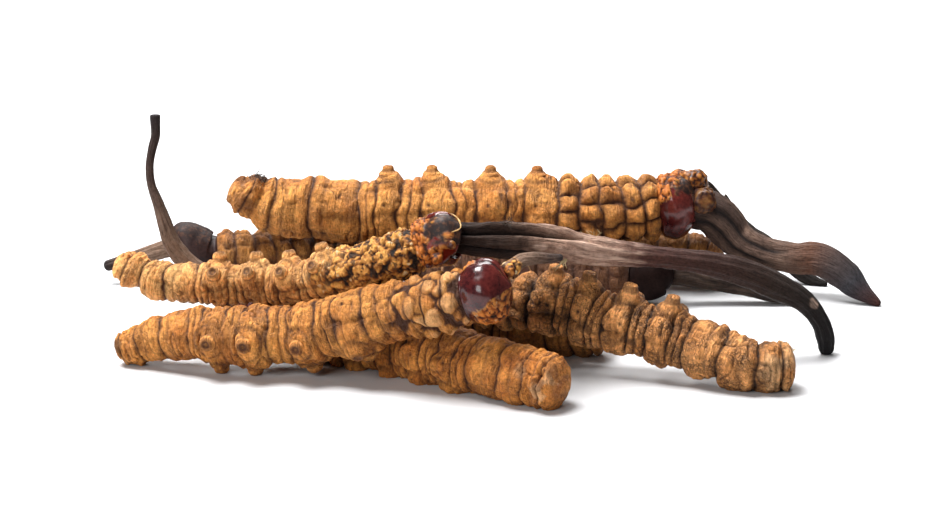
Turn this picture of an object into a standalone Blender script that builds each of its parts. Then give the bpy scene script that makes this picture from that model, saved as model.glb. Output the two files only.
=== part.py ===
"""A loose pile of nine dried cordyceps fungi, with their stalks.

Each specimen is a mummified larva, its hard head capsule and the fungus stalk
that grew out of the head.  The pile's own frame has its origin on the resting
surface, below the middle of the pile: +X to the right, +Y to the back, +Z up.
Lengths in the tables are millimetres and are scaled to metres by MM.
"""

import math
from dataclasses import dataclass

import bmesh
import bpy
import numpy as np
from mathutils import Vector

MM = 0.001
PILE_CENTRE = (2.45, 11.2, 0.0)

LARVA_RESOLUTION = 3
HEAD_RESOLUTION = 3
STALK_RESOLUTION = 2
SPAN_SAMPLES = 16
MERGE_DISTANCE = 1e-7

CREASE_DEPTH = 0.06
NECK_NARROWING = 0.86
TAIL_RING_RADII = ((0.965, 0.86), (0.987, 0.58), (0.998, 0.26))
SEGMENT_ENDS = (0.0, 0.12, 0.24, 0.36, 0.485, 0.605, 0.72, 0.82, 0.90, 0.95)
HEAD_PROFILE = (0.84, 0.98, 1.0, 0.86, 0.52)
FACET_ALLOWANCE = 1.02
GAP = 0.35
SHOULDER_SHARE = 0.22

LEG_SIDES = 6
LEG_BASE_RADIUS = 1.25
LEG_TIP_RADIUS = 0.6
LEG_ROOT_DEPTH = 1.2
AXIS_STEP = 0.01
LEG_STATIONS = (0.31, 0.43, 0.545, 0.66)

FLOOR_BLOCK = (140.0, 120.0, 10.0)

TAN = (0.50, 0.25, 0.075, 1.0)
DARK_RED = (0.060, 0.012, 0.010, 1.0)
DARK_BROWN = (0.070, 0.040, 0.028, 1.0)


@dataclass(frozen=True)
class Specimen:
    """One fungus: rows of (x, y, z, radius), the body's from neck to tail.

    The head bends from the neck to the first stalk's root, or to the nose
    where one is given.  legs gives each pair's place along the body, as a
    share of its length, and its two angles from straight forward, upwards.
    """

    name: str
    body: tuple
    head_radius: float
    stalks: dict
    legs: tuple
    leg_height: float
    nose: tuple = ()


def straight_legs(belly, spread, stations=LEG_STATIONS):
    """Return four pairs of legs, spread to both sides of one belly angle."""
    return tuple((station, belly - spread, belly + spread) for station in stations)


FRONT_LEFT = Specimen(
    name="front_left",
    body=(
        (0.2, -13.9, 10.7, 2.9), (-2.8, -12.8, 9.7, 2.95), (-7.0, -11.0, 8.4, 2.95),
        (-12.3, -9.0, 6.5, 2.95), (-17.7, -7.3, 4.9, 2.95), (-23.1, -6.5, 4.5, 2.9),
        (-28.5, -5.0, 4.1, 2.6), (-33.0, -3.5, 3.0, 2.15), (-37.8, -2.0, 1.6, 1.75),
    ),
    head_radius=3.15,
    stalks={
        "stalk": (
            (4.8, -13.3, 13.6, 0.8), (5.8, -12.2, 14.0, 0.75), (7.2, -11.2, 14.0, 0.65),
            (8.7, -10.4, 13.8, 0.5), (10.1, -10.0, 13.8, 0.32),
        ),
    },
    legs=((0.32, -92.0, -48.0), (0.468, -97.0, -8.0), (0.61, -93.0, -3.0), (0.70, -91.0, -1.0)),
    leg_height=1.45,
    nose=(4.2, -15.3, 12.0),
)

UPPER_LEFT = Specimen(
    name="upper_left",
    body=(
        (-4.8, -7.3, 14.1, 2.25), (-7.0, -6.8, 13.1, 2.35), (-10.3, -5.5, 11.8, 2.35),
        (-14.1, -3.6, 10.1, 2.35), (-18.5, -1.8, 8.7, 2.2), (-23.4, 0.0, 8.1, 2.15),
        (-28.4, 1.2, 7.8, 2.15), (-32.9, 2.4, 7.9, 1.95), (-35.7, 3.2, 8.7, 1.8),
        (-38.3, 4.0, 10.0, 1.6),
    ),
    head_radius=2.9,
    stalks={
        "stalk": (
            (-0.8, -8.5, 15.5, 1.5), (0.9, -8.2, 15.3, 1.75), (3.5, -7.6, 15.1, 2.0),
            (6.7, -6.8, 14.7, 2.0), (9.9, -6.2, 14.2, 1.85), (14.2, -5.3, 13.2, 1.5),
            (20.1, -3.9, 12.3, 1.15), (25.0, -2.6, 11.4, 1.2), (29.5, -1.2, 9.9, 1.5),
            (33.4, 0.0, 8.0, 1.45), (36.5, 0.7, 6.2, 1.2), (38.4, 1.0, 3.9, 1.0),
            (39.2, 1.2, 1.8, 1.0), (39.3, 1.1, -0.1, 0.8),
        ),
    },
    legs=straight_legs(84.0, 27.0),
    leg_height=1.0,
)

TOP = Specimen(
    name="top",
    body=(
        (23.1, 29.0, 10.0, 3.5), (20.3, 29.0, 9.7, 3.6), (15.3, 28.8, 9.3, 3.6),
        (7.4, 28.6, 9.3, 3.55), (-1.0, 28.5, 9.4, 3.55), (-10.1, 28.7, 9.4, 3.5),
        (-17.2, 29.0, 9.4, 3.5), (-22.5, 29.2, 9.9, 3.2), (-25.4, 29.4, 11.0, 2.7),
        (-27.6, 29.5, 12.3, 2.3),
    ),
    head_radius=3.7,
    stalks={
        "stalk": (
            (28.7, 28.9, 9.5, 1.85), (30.1, 28.7, 8.2, 2.3), (31.8, 28.2, 6.1, 2.15),
            (34.0, 27.4, 5.0, 1.85), (36.1, 26.7, 4.5, 1.75), (38.3, 26.0, 4.4, 1.8),
            (40.6, 25.2, 4.5, 1.9), (42.5, 24.3, 3.9, 1.9), (44.3, 23.3, 2.6, 1.7),
            (45.7, 22.2, 1.4, 1.2), (47.7, 20.6, 0.2, 0.35),
        ),
        "second_stalk": (
            (28.1, 32.7, 11.3, 0.9), (30.0, 33.3, 9.0, 1.0), (31.9, 33.3, 7.1, 1.0),
            (33.7, 33.1, 5.5, 0.95), (35.8, 32.5, 4.2, 0.95), (37.8, 31.8, 2.6, 0.9),
            (39.5, 31.0, 1.3, 0.85), (40.9, 30.3, 0.6, 0.65), (42.6, 29.5, 0.2, 0.3),
        ),
    },
    legs=straight_legs(136.0, 34.0, (0.29, 0.397, 0.529, 0.629)),
    leg_height=1.45,
    nose=(26.9, 29.0, 10.8),
)

RIGHT = Specimen(
    name="right",
    body=(
        (-4.5, 0.0, 6.4, 2.4), (-0.2, -0.8, 6.6, 2.5), (4.7, -2.0, 6.9, 2.6),
        (10.2, -4.0, 6.6, 2.75), (15.3, -5.8, 5.6, 2.8), (20.5, -7.8, 4.7, 2.75),
        (26.2, -10.5, 3.5, 2.65), (30.0, -12.0, 2.5, 2.6), (34.5, -11.5, 2.3, 2.3),
    ),
    head_radius=2.5,
    stalks={
        "stalk": (
            (-8.8, 1.3, 6.0, 1.0), (-11.6, 2.8, 5.9, 0.9), (-15.0, 5.2, 5.8, 0.75),
            (-18.5, 7.5, 5.6, 0.55),
        ),
    },
    legs=straight_legs(132.0, 34.0, (0.347, 0.44, 0.556, 0.67)),
    leg_height=1.35,
)

FRONT = Specimen(
    name="front",
    body=(
        (-21.2, 3.0, 3.0, 3.05), (-17.0, 0.5, 3.0, 3.15), (-12.6, -2.0, 3.0, 3.2),
        (-7.1, -5.5, 3.0, 3.2), (-2.8, -9.5, 3.0, 3.15), (1.2, -13.0, 3.0, 3.15),
        (4.3, -15.5, 2.95, 3.1), (9.9, -19.5, 2.6, 2.8),
    ),
    head_radius=2.95,
    stalks={
        "stalk": (
            (-24.9, 5.8, 3.8, 1.2), (-26.7, 6.8, 5.4, 1.15), (-29.1, 7.7, 7.0, 1.1),
            (-31.3, 8.0, 8.9, 1.05), (-32.7, 8.3, 10.9, 0.95), (-33.4, 8.6, 13.0, 0.77),
            (-34.1, 9.0, 15.1, 0.6), (-34.8, 9.4, 17.0, 0.47), (-35.0, 9.7, 19.0, 0.44),
            (-34.7, 10.0, 20.9, 0.46), (-34.3, 10.2, 22.5, 0.49), (-34.3, 10.4, 24.8, 0.56),
        ),
    },
    legs=straight_legs(-95.0, 35.0),
    leg_height=0.45,
)

BACK_LEFT = Specimen(
    name="back_left",
    body=(
        (-29.6, 32.0, 3.1, 3.0), (-20.0, 32.6, 2.95, 3.15), (-10.0, 32.9, 2.9, 3.15),
        (0.0, 32.3, 2.9, 3.1), (12.0, 31.0, 2.4, 2.6),
    ),
    head_radius=3.2,
    stalks={
        "stalk": (
            (-34.9, 31.8, 4.2, 1.1), (-37.0, 31.5, 3.7, 1.0), (-39.8, 31.1, 2.9, 0.85),
            (-42.9, 30.7, 2.1, 0.65),
        ),
    },
    legs=straight_legs(112.0, 20.0),
    leg_height=0.8,
)

MIDDLE = Specimen(
    name="middle",
    body=(
        (-20.5, 12.8, 2.7, 2.8), (-14.0, 9.4, 2.7, 2.85), (-6.0, 5.8, 2.7, 2.85),
        (2.0, 3.2, 2.7, 2.85), (9.0, 1.5, 2.65, 2.8), (15.5, 0.2, 2.3, 2.4),
    ),
    head_radius=2.7,
    stalks={
        "stalk": ((-25.5, 15.4, 3.0, 1.2), (-28.0, 16.8, 2.6, 1.1), (-30.0, 18.4, 2.0, 0.9)),
    },
    legs=straight_legs(130.0, 30.0),
    leg_height=0.9,
)

REAR = Specimen(
    name="rear",
    body=(
        (19.0, 22.4, 2.9, 2.9), (11.0, 24.0, 2.9, 3.05), (2.0, 25.0, 2.9, 3.05),
        (-8.0, 24.3, 2.85, 3.0), (-19.5, 20.8, 2.3, 2.4),
    ),
    head_radius=2.8,
    stalks={
        "stalk": (
            (24.0, 21.8, 3.5, 1.15), (25.8, 21.9, 3.3, 1.2), (28.7, 22.0, 2.8, 1.2),
            (31.5, 22.0, 2.3, 1.2), (34.2, 21.8, 1.7, 1.15), (36.2, 21.6, 1.1, 0.95),
            (37.8, 21.5, 0.5, 0.5),
        ),
    },
    legs=straight_legs(50.0, 30.0),
    leg_height=0.9,
)

BACK_RIGHT = Specimen(
    name="back_right",
    body=(
        (-11.5, 40.2, 2.8, 2.8), (-6.0, 40.0, 2.8, 2.95), (2.0, 39.1, 2.8, 3.0),
        (10.0, 37.5, 2.85, 3.0), (18.0, 35.4, 2.85, 3.0), (24.0, 33.8, 2.9, 2.9),
        (30.5, 32.2, 2.8, 2.6),
    ),
    head_radius=2.9,
    stalks={
        "stalk": (
            (-16.9, 40.3, 3.4, 1.5), (-20.0, 40.4, 3.2, 1.4), (-23.5, 40.2, 2.2, 1.3),
            (-27.0, 39.4, 1.2, 1.1), (-30.0, 38.0, 0.7, 0.7),
        ),
    },
    legs=straight_legs(140.0, 30.0),
    leg_height=0.9,
)

PILE = (FRONT_LEFT, UPPER_LEFT, TOP, RIGHT, FRONT, BACK_LEFT, MIDDLE, REAR, BACK_RIGHT)


def clear_scene():
    """Remove every object, so that the script can be run again."""
    for thing in list(bpy.data.objects):
        bpy.data.objects.remove(thing)


def new_collection(name):
    """Return a new collection that is linked to the scene."""
    collection = bpy.data.collections.new(name)
    bpy.context.scene.collection.children.link(collection)
    return collection


def finish(name, colour, roughness):
    """Return a plain material with one colour and one roughness."""
    material = bpy.data.materials.new(name)
    material.use_nodes = True
    shader = material.node_tree.nodes["Principled BSDF"]
    shader.inputs["Base Color"].default_value = colour
    shader.inputs["Roughness"].default_value = roughness
    shader.inputs["Metallic"].default_value = 0.0
    material.diffuse_color = colour
    return material


def smooth_rows(rows):
    """Return a dense Catmull-Rom curve through rows, and its running length."""
    knots = np.array(rows, dtype=float)
    knots[:, :3] -= PILE_CENTRE
    first = 2.0 * knots[0] - knots[1]
    last = 2.0 * knots[-1] - knots[-2]
    knots = np.vstack([first, knots, last])
    t = np.linspace(0.0, 1.0, SPAN_SAMPLES, endpoint=False)[:, None]
    spans = []
    for a, b, c, d in zip(knots, knots[1:], knots[2:], knots[3:]):
        cubic = (3.0 * b - a - 3.0 * c + d) * t**3
        square = (2.0 * a - 5.0 * b + 4.0 * c - d) * t**2
        spans.append(0.5 * (2.0 * b + (c - a) * t + square + cubic))
    curve = np.vstack(spans + [knots[-2:-1]])
    steps = np.linalg.norm(np.diff(curve[:, :3], axis=0), axis=1)
    return curve, np.concatenate([[0.0], np.cumsum(steps)])


def rows_at(rows, fractions):
    """Return (x, y, z, radius) at the given fractions of the curve's length."""
    curve, length = smooth_rows(rows)
    wanted = np.asarray(fractions) * length[-1]
    return np.stack([np.interp(wanted, length, curve[:, k]) for k in range(4)], axis=1)


def tube(name, rows, resolution, material, collection):
    """Make a closed round tube through rows, whose radius varies along it."""
    data = bpy.data.curves.new(name, "CURVE")
    data.dimensions = "3D"
    data.bevel_depth = MM
    data.bevel_resolution = resolution
    data.use_fill_caps = True
    spline = data.splines.new("POLY")
    spline.points.add(len(rows) - 1)
    for point, (x, y, z, radius) in zip(spline.points, rows):
        point.co = (x * MM, y * MM, z * MM, 1.0)
        point.radius = radius * FACET_ALLOWANCE
    curve = bpy.data.objects.new(name + "_path", data)
    collection.objects.link(curve)
    return mesh_of_curve(curve, name, material, collection)


def mesh_of_curve(curve, name, material, collection):
    """Turn a curve object into a welded mesh object and remove the curve."""
    graph = bpy.context.evaluated_depsgraph_get()
    mesh = bpy.data.meshes.new_from_object(curve.evaluated_get(graph))
    mesh.name = name
    shape = bmesh.new()
    shape.from_mesh(mesh)
    bmesh.ops.remove_doubles(shape, verts=shape.verts, dist=MERGE_DISTANCE)
    bmesh.ops.recalc_face_normals(shape, faces=shape.faces)
    shape.to_mesh(mesh)
    shape.free()
    mesh.materials.clear()
    mesh.materials.append(material)
    mesh.shade_smooth()
    solid = bpy.data.objects.new(name, mesh)
    solid.matrix_world = curve.matrix_world
    collection.objects.link(solid)
    bpy.data.objects.remove(curve)
    return solid


def larva_rows(specimen):
    """Return the body's rings: full on each segment, narrower in each crease."""
    fractions = []
    factors = []
    for start, end in zip(SEGMENT_ENDS, SEGMENT_ENDS[1:]):
        fractions += [start, (start + end) / 2.0]
        factors += [1.0 - CREASE_DEPTH, 1.0]
    factors[0] = NECK_NARROWING
    fractions += [ring[0] for ring in TAIL_RING_RADII]
    factors += [ring[1] for ring in TAIL_RING_RADII]
    rows = rows_at(specimen.body, fractions)
    rows[:, 3] *= factors
    return rows


def leg_direction(angle, axis):
    """Return the unit vector at an angle from forward, square to the axis."""
    turned = math.radians(angle)
    outward = Vector((0.0, -math.cos(turned), math.sin(turned)))
    return (outward - outward.project(axis)).normalized()


def larva_legs(specimen, collection):
    """Make the eight blunt cones of the four pairs of legs as one cutter."""
    shape = bmesh.new()
    depth = specimen.leg_height + LEG_ROOT_DEPTH
    for station, low, high in specimen.legs:
        near, far = rows_at(specimen.body, (station - AXIS_STEP, station + AXIS_STEP))
        centre = Vector((near[:3] + far[:3]) / 2.0)
        axis = Vector(far[:3] - near[:3]).normalized()
        middle = near[3] - LEG_ROOT_DEPTH + depth / 2.0
        for angle in (low, high):
            outward = leg_direction(angle, axis)
            cone = bmesh.ops.create_cone(
                shape, cap_ends=True, segments=LEG_SIDES, depth=depth * MM,
                radius1=LEG_BASE_RADIUS * MM, radius2=LEG_TIP_RADIUS * MM,
            )
            turn = outward.to_track_quat("Z", "Y").to_matrix()
            bmesh.ops.rotate(shape, verts=cone["verts"], matrix=turn)
            place = (centre + outward * middle) * MM
            bmesh.ops.translate(shape, verts=cone["verts"], vec=place)
    return cutter(shape, specimen.name + "_legs", collection)


def floor_block(collection):
    """Make the block below the resting surface that cuts the contact flats."""
    shape = bmesh.new()
    bmesh.ops.create_cube(shape, size=MM)
    bmesh.ops.scale(shape, verts=shape.verts, vec=FLOOR_BLOCK)
    bmesh.ops.translate(shape, verts=shape.verts, vec=(0.0, 0.0, -FLOOR_BLOCK[2] * MM / 2.0))
    return cutter(shape, "floor_block", collection)


def cutter(shape, name, collection):
    """Turn a bmesh into a cutter: shown as wire and never rendered."""
    mesh = bpy.data.meshes.new(name)
    shape.to_mesh(mesh)
    shape.free()
    tool = bpy.data.objects.new(name, mesh)
    tool.hide_render = True
    tool.display_type = "WIRE"
    collection.objects.link(tool)
    return tool


def combine(solid, tool, operation):
    """Add an exact Boolean modifier of the solid with the tool.

    Two legs of a pair may meet at their roots, so the tool can cross itself.
    """
    modifier = solid.modifiers.new(operation.lower(), "BOOLEAN")
    modifier.operation = operation
    modifier.solver = "EXACT"
    modifier.use_self = operation == "UNION"
    modifier.object = tool


def rest_on_floor(solid, block):
    """Cut the solid flat where it would reach below the resting surface."""
    lowest = min((solid.matrix_world @ vertex.co).z for vertex in solid.data.vertices)
    if lowest < 0.0:
        combine(solid, block, "DIFFERENCE")


def build_larva(specimen, block, material, parts, cutters):
    """Make a segmented body with its legs, cut flat where it touches down."""
    larva = tube(specimen.name + "_larva", larva_rows(specimen), LARVA_RESOLUTION, material, parts)
    combine(larva, larva_legs(specimen, cutters), "UNION")
    rest_on_floor(larva, block)


def first_step(rings):
    """Return the first ring's centre and the unit direction to the second."""
    step = rings[1, :3] - rings[0, :3]
    return rings[0, :3], step / np.linalg.norm(step)


def head_rows(specimen):
    """Return the head's rings, square to the neck and to the root or nose."""
    neck, into_body = first_step(larva_rows(specimen))
    start = neck - into_body * GAP
    if specimen.nose:
        end = np.array(specimen.nose) - PILE_CENTRE
        heading = (end - start) / np.linalg.norm(end - start)
    else:
        root, heading = first_step(stalk_rows(specimen.stalks["stalk"]))
        end = root - heading * GAP
    reach = SHOULDER_SHARE * np.linalg.norm(end - start)
    shoulder = start - into_body * reach
    cheek = end - heading * reach
    centres = np.array([start, shoulder, (shoulder + cheek) / 2.0, cheek, end])
    return np.column_stack([centres, specimen.head_radius * np.array(HEAD_PROFILE)])


def build_head(specimen, block, material, parts):
    """Make the barrel of the hard head capsule between neck and stalk."""
    rows = head_rows(specimen)
    head = tube(specimen.name + "_head", rows, HEAD_RESOLUTION, material, parts)
    rest_on_floor(head, block)


def stalk_rows(points):
    """Return a stalk's rings, evenly spaced from its root to its tip."""
    return rows_at(points, np.linspace(0.0, 1.0, len(points) + 1))


def build_stalks(specimen, block, material, parts):
    """Make each tapering stalk that grows out of the head."""
    for kind, points in specimen.stalks.items():
        rows = stalk_rows(points)
        stalk = tube(f"{specimen.name}_{kind}", rows, STALK_RESOLUTION, material, parts)
        rest_on_floor(stalk, block)


def main():
    """Build the whole pile, one specimen after another."""
    clear_scene()
    parts = new_collection("cordyceps_bundle")
    cutters = new_collection("cutters")
    larva_finish = finish("larva_skin", TAN, 0.75)
    head_finish = finish("head_capsule", DARK_RED, 0.25)
    stalk_finish = finish("stalk_fibre", DARK_BROWN, 0.7)
    block = floor_block(cutters)
    for specimen in PILE:
        build_larva(specimen, block, larva_finish, parts, cutters)
        build_head(specimen, block, head_finish, parts)
        build_stalks(specimen, block, stalk_finish, parts)


main()
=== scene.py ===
"""The looks of a loose pile of nine dried cordyceps fungi.

Each specimen is a mummified larva with ringed skin and stubby legs, a hard
glossy head capsule, and the fibrous fungus stalk that grew out of the head.
Lengths in the tables are millimetres in the table's own frame; PILE_CENTRE is
taken off every point and MM turns the rest into metres.  Angles round a body
are degrees from straight forward (towards -Y), turning up.
"""

from __future__ import annotations

import logging
import math
from dataclasses import dataclass, field
from enum import Enum

import bpy
import numpy as np
from bpy.types import Material, Node, NodeSocket, NodeTree, Object
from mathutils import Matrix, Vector
from numpy.typing import NDArray


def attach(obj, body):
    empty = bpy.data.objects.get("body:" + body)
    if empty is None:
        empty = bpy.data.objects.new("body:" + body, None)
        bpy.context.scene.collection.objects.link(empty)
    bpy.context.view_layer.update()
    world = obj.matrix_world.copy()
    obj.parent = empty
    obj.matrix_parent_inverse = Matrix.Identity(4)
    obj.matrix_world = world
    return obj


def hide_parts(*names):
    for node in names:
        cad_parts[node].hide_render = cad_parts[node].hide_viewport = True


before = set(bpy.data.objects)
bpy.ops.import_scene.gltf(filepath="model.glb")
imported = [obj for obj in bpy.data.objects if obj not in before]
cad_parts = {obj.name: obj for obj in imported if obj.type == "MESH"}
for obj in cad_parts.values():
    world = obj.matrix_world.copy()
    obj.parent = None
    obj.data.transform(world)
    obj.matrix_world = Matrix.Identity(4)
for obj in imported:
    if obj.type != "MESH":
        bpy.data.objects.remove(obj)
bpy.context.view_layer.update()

Array = NDArray[np.float64]
Row = tuple[float, float, float, float]
Colour = tuple[float, float, float]

MM = 0.001
PILE_CENTRE = np.array([2.45, 11.2, 0.0])
FORWARD = np.array([0.0, -1.0, 0.0])
SPAN_SAMPLES = 24
AXIS_STEP = 0.01
FLOOR_CLEARANCE = 0.02
GRAIN_WANDER = 0.22
GRAIN_REACH = 0.55
SIDE_FOLDS = ((66.0, 1.0), (126.0, 0.7))
PIT_ANGLE = 104.0
LEG_RING = 1.55
TAIL_SEGMENTS = (0.36, 0.29, 0.21, 0.20)
LEG_RIM_RADII = (0.97, 0.85, 0.66, 0.42, 0.18)
LEG_RIM_DROPS = (0.05, 0.06, -0.35, -0.9, -1.0)
LEG_RIM_DARKNESS = (0.65, 0.75, 1.0, 1.0, 0.8)
KNOB_POLE = 88.0

logging.basicConfig(level=logging.INFO, format="%(message)s")
log = logging.getLogger("cordyceps_bundle")


def unit(vectors: Array) -> Array:
    """Return the vectors scaled to length one along their last axis."""
    return vectors / np.maximum(np.linalg.norm(vectors, axis=-1, keepdims=True), 1e-12)


def ease(low: float, high: float, value: Array) -> Array:
    """Return 0 below low and 1 above high, with the smooth cubic between."""
    t = np.clip((value - low) / (high - low), 0.0, 1.0)
    return t * t * (3.0 - 2.0 * t)


def bell(value: Array, width: float) -> Array:
    """Return the bell curve exp(-(value / width) squared)."""
    return np.exp(-((value / width) ** 2))


def turn_between(angle: Array, centre: float) -> Array:
    """Return the signed angle in degrees from centre, between -180 and 180."""
    return (angle - centre + 180.0) % 360.0 - 180.0


def keep_off_floor(points: Array) -> None:
    """Lift the points that are under the floor to just above it."""
    points[..., 2] = np.maximum(points[..., 2], FLOOR_CLEARANCE)


@dataclass(frozen=True)
class Noise:
    """Seeded noise that is worked out for whole arrays of points at once."""

    seed: int

    def hashed(self, cells: Array, channel: int = 0) -> Array:
        """Return a repeatable number from 0 to 1 for each whole-number cell.

        Args:
            cells: Whole-number cell corners, shape (..., 3).
            channel: Which of several independent numbers to return.

        Returns:
            Numbers from 0 to 1, of the cells' shape without its last axis.
        """
        whole = cells.astype(np.int64).astype(np.uint32)
        mixed = whole[..., 0] * np.uint32(73856093)
        mixed ^= whole[..., 1] * np.uint32(19349663)
        mixed ^= whole[..., 2] * np.uint32(83492791)
        mixed ^= np.uint32((self.seed * 2654435 + channel * 97561 + 12345) % 2**32)
        mixed = (mixed ^ (mixed >> np.uint32(15))) * np.uint32(2246822519)
        mixed = (mixed ^ (mixed >> np.uint32(13))) * np.uint32(3266489917)
        mixed ^= mixed >> np.uint32(16)
        return (mixed & np.uint32(0xFFFFFF)).astype(np.float64) / float(0xFFFFFF)

    def smooth(self, points: Array, size: float, channel: int = 0) -> Array:
        """Return smooth noise from -1 to 1: cell values, eased between corners.

        Args:
            points: Places in millimetres, shape (..., 3).
            size: Width of one noise cell in millimetres.
            channel: Which of several independent fields to return.

        Returns:
            The noise at each point.
        """
        scaled = points / size
        base = np.floor(scaled)
        part = scaled - base
        part = part * part * part * (part * (part * 6.0 - 15.0) + 10.0)
        total = np.zeros(points.shape[:-1])
        for corner in np.ndindex(2, 2, 2):
            share = np.prod(np.where(np.array(corner) == 1, part, 1.0 - part), axis=-1)
            total += share * self.hashed(base + np.array(corner), channel)
        return total * 2.0 - 1.0

    def layered(self, points: Array, size: float, layers: int, channel: int = 0) -> Array:
        """Return a sum of smooth noises, each half the size and strength of the last.

        Args:
            points: Places in millimetres, shape (..., 3).
            size: Width of the largest cell in millimetres.
            layers: How many noises are added.
            channel: Which of several independent fields to return.

        Returns:
            The sum at each point.
        """
        total = np.zeros(points.shape[:-1])
        for layer in range(layers):
            total += self.smooth(points, size / 2**layer, channel + 7 * layer) / 2**layer
        return total

    def grains(self, points: Array, size: float, channel: int = 0) -> tuple[Array, Array]:
        """Return rounded grains packed side by side.

        Every cell holds one grain at a random place.  The height of a point is
        one minus the squared distance to its nearest grain, in cell widths, and
        the points are first pushed about a little so that no grain is round.

        Args:
            points: Places in millimetres, shape (..., 3).
            size: Spacing of the grains in millimetres.
            channel: Which of several independent fields to return.

        Returns:
            The height from 0 to 1, and a random number from 0 to 1 per grain.
        """
        bent = [self.smooth(points, 0.8 * size, channel + 40 + k) for k in range(3)]
        scaled = points / size + GRAIN_WANDER * np.stack(bent, axis=-1)
        base = np.floor(scaled)
        nearest = np.full(points.shape[:-1], 9.0)
        tone = np.zeros(points.shape[:-1])
        for step in np.ndindex(3, 3, 3):
            cell = base + np.array(step) - 1.0
            spots = np.stack([self.hashed(cell, channel + k) for k in range(3)], axis=-1)
            gap = np.sum((cell + spots - scaled) ** 2, axis=-1)
            closer = gap < nearest
            nearest = np.where(closer, gap, nearest)
            tone = np.where(closer, self.hashed(cell, channel + 3), tone)
        return np.clip(1.0 - nearest / GRAIN_REACH, 0.0, 1.0), tone


@dataclass(frozen=True)
class Frames:
    """Places along a path with two directions square to it at each of them."""

    centre: Array
    radius: Array
    axis: Array
    forward: Array
    upward: Array

    def around(self, angle: Array, radius: Array) -> Array:
        """Return points at an angle and a distance from the path.

        Each point is centre + radius * (cos(angle) forward + sin(angle) upward).

        Args:
            angle: Angles in degrees, shape (rings, sides) or (1, sides).
            radius: Distances in millimetres, shape (rings, sides).

        Returns:
            Points in millimetres, shape (rings, sides, 3).
        """
        turned = np.radians(angle)[..., None]
        spoke = np.cos(turned) * self.forward[:, None] + np.sin(turned) * self.upward[:, None]
        return self.centre[:, None] + radius[..., None] * spoke


@dataclass(frozen=True)
class Path:
    """A smooth curve through rows of (x, y, z, radius), in millimetres."""

    rows: tuple[Row, ...]

    def dense(self) -> tuple[Array, Array]:
        """Return closely spaced (x, y, z, radius) on the curve and their run.

        Between two rows the curve is the Catmull-Rom cubic of its four nearest
        rows, and the run is the length walked along it.

        Returns:
            The places, shape (count, 4), and the running length, shape (count,).
        """
        knots = np.array(self.rows, dtype=float)
        knots[:, :3] -= PILE_CENTRE
        knots = np.vstack([2.0 * knots[0] - knots[1], knots, 2.0 * knots[-1] - knots[-2]])
        t = np.linspace(0.0, 1.0, SPAN_SAMPLES, endpoint=False)[:, None]
        spans = []
        for a, b, c, d in zip(knots, knots[1:], knots[2:], knots[3:]):
            cubic = (3.0 * b - a - 3.0 * c + d) * t**3
            square = (2.0 * a - 5.0 * b + 4.0 * c - d) * t**2
            spans.append(0.5 * (2.0 * b + (c - a) * t + square + cubic))
        curve = np.vstack(spans + [knots[-2:-1]])
        steps = np.linalg.norm(np.diff(curve[:, :3], axis=0), axis=1)
        return curve, np.concatenate([[0.0], np.cumsum(steps)])

    @property
    def length(self) -> float:
        """The curve's whole length in millimetres."""
        return float(self.dense()[1][-1])

    def at(self, shares: Array) -> Array:
        """Return (x, y, z, radius) at shares of the length.

        Below 0 and above 1 the curve goes on straight, at its end radius.

        Args:
            shares: Shares of the length, shape (count,).

        Returns:
            The places, shape (count, 4).
        """
        curve, run = self.dense()
        wanted = np.asarray(shares) * run[-1]
        places = np.stack([np.interp(wanted, run, curve[:, k]) for k in range(4)], axis=1)
        head = unit(curve[1, :3] - curve[0, :3])
        tail = unit(curve[-1, :3] - curve[-2, :3])
        places[:, :3] += np.minimum(wanted, 0.0)[:, None] * head
        places[:, :3] += np.maximum(wanted - run[-1], 0.0)[:, None] * tail
        return places

    def frames(self, shares: Array) -> Frames:
        """Return the frames at shares of the length.

        Forward is -Y made square to the curve, and upward is square to both.

        Args:
            shares: Shares of the length, shape (count,).

        Returns:
            The frames, one for each share.
        """
        places = self.at(shares)
        ahead, behind = self.at(shares + AXIS_STEP), self.at(shares - AXIS_STEP)
        axis = unit(ahead[:, :3] - behind[:, :3])
        forward = unit(FORWARD - axis * (axis @ FORWARD)[:, None])
        upward = np.cross(forward, axis)
        if upward[:, 2].sum() < 0.0:
            upward = -upward
        return Frames(places[:, :3], places[:, 3], axis, forward, upward)


@dataclass
class Surface:
    """A closed surface: vertices in millimetres, faces, and a value per vertex."""

    vertices: Array
    quads: NDArray[np.int64]
    fans: NDArray[np.int64]
    masks: dict[str, Array]

    def turned_out(self) -> "Surface":
        """Return the surface with its faces outwards, judged by its volume.

        Returns:
            The same surface.
        """
        halves = np.vstack([self.quads[:, :3], self.quads[:, [0, 2, 3]], self.fans])
        a, b, c = (self.vertices[halves[:, k]] for k in range(3))
        if np.sum(a * np.cross(b, c)) < 0.0:
            self.quads = self.quads[:, ::-1]
            self.fans = self.fans[:, ::-1]
        return self


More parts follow.
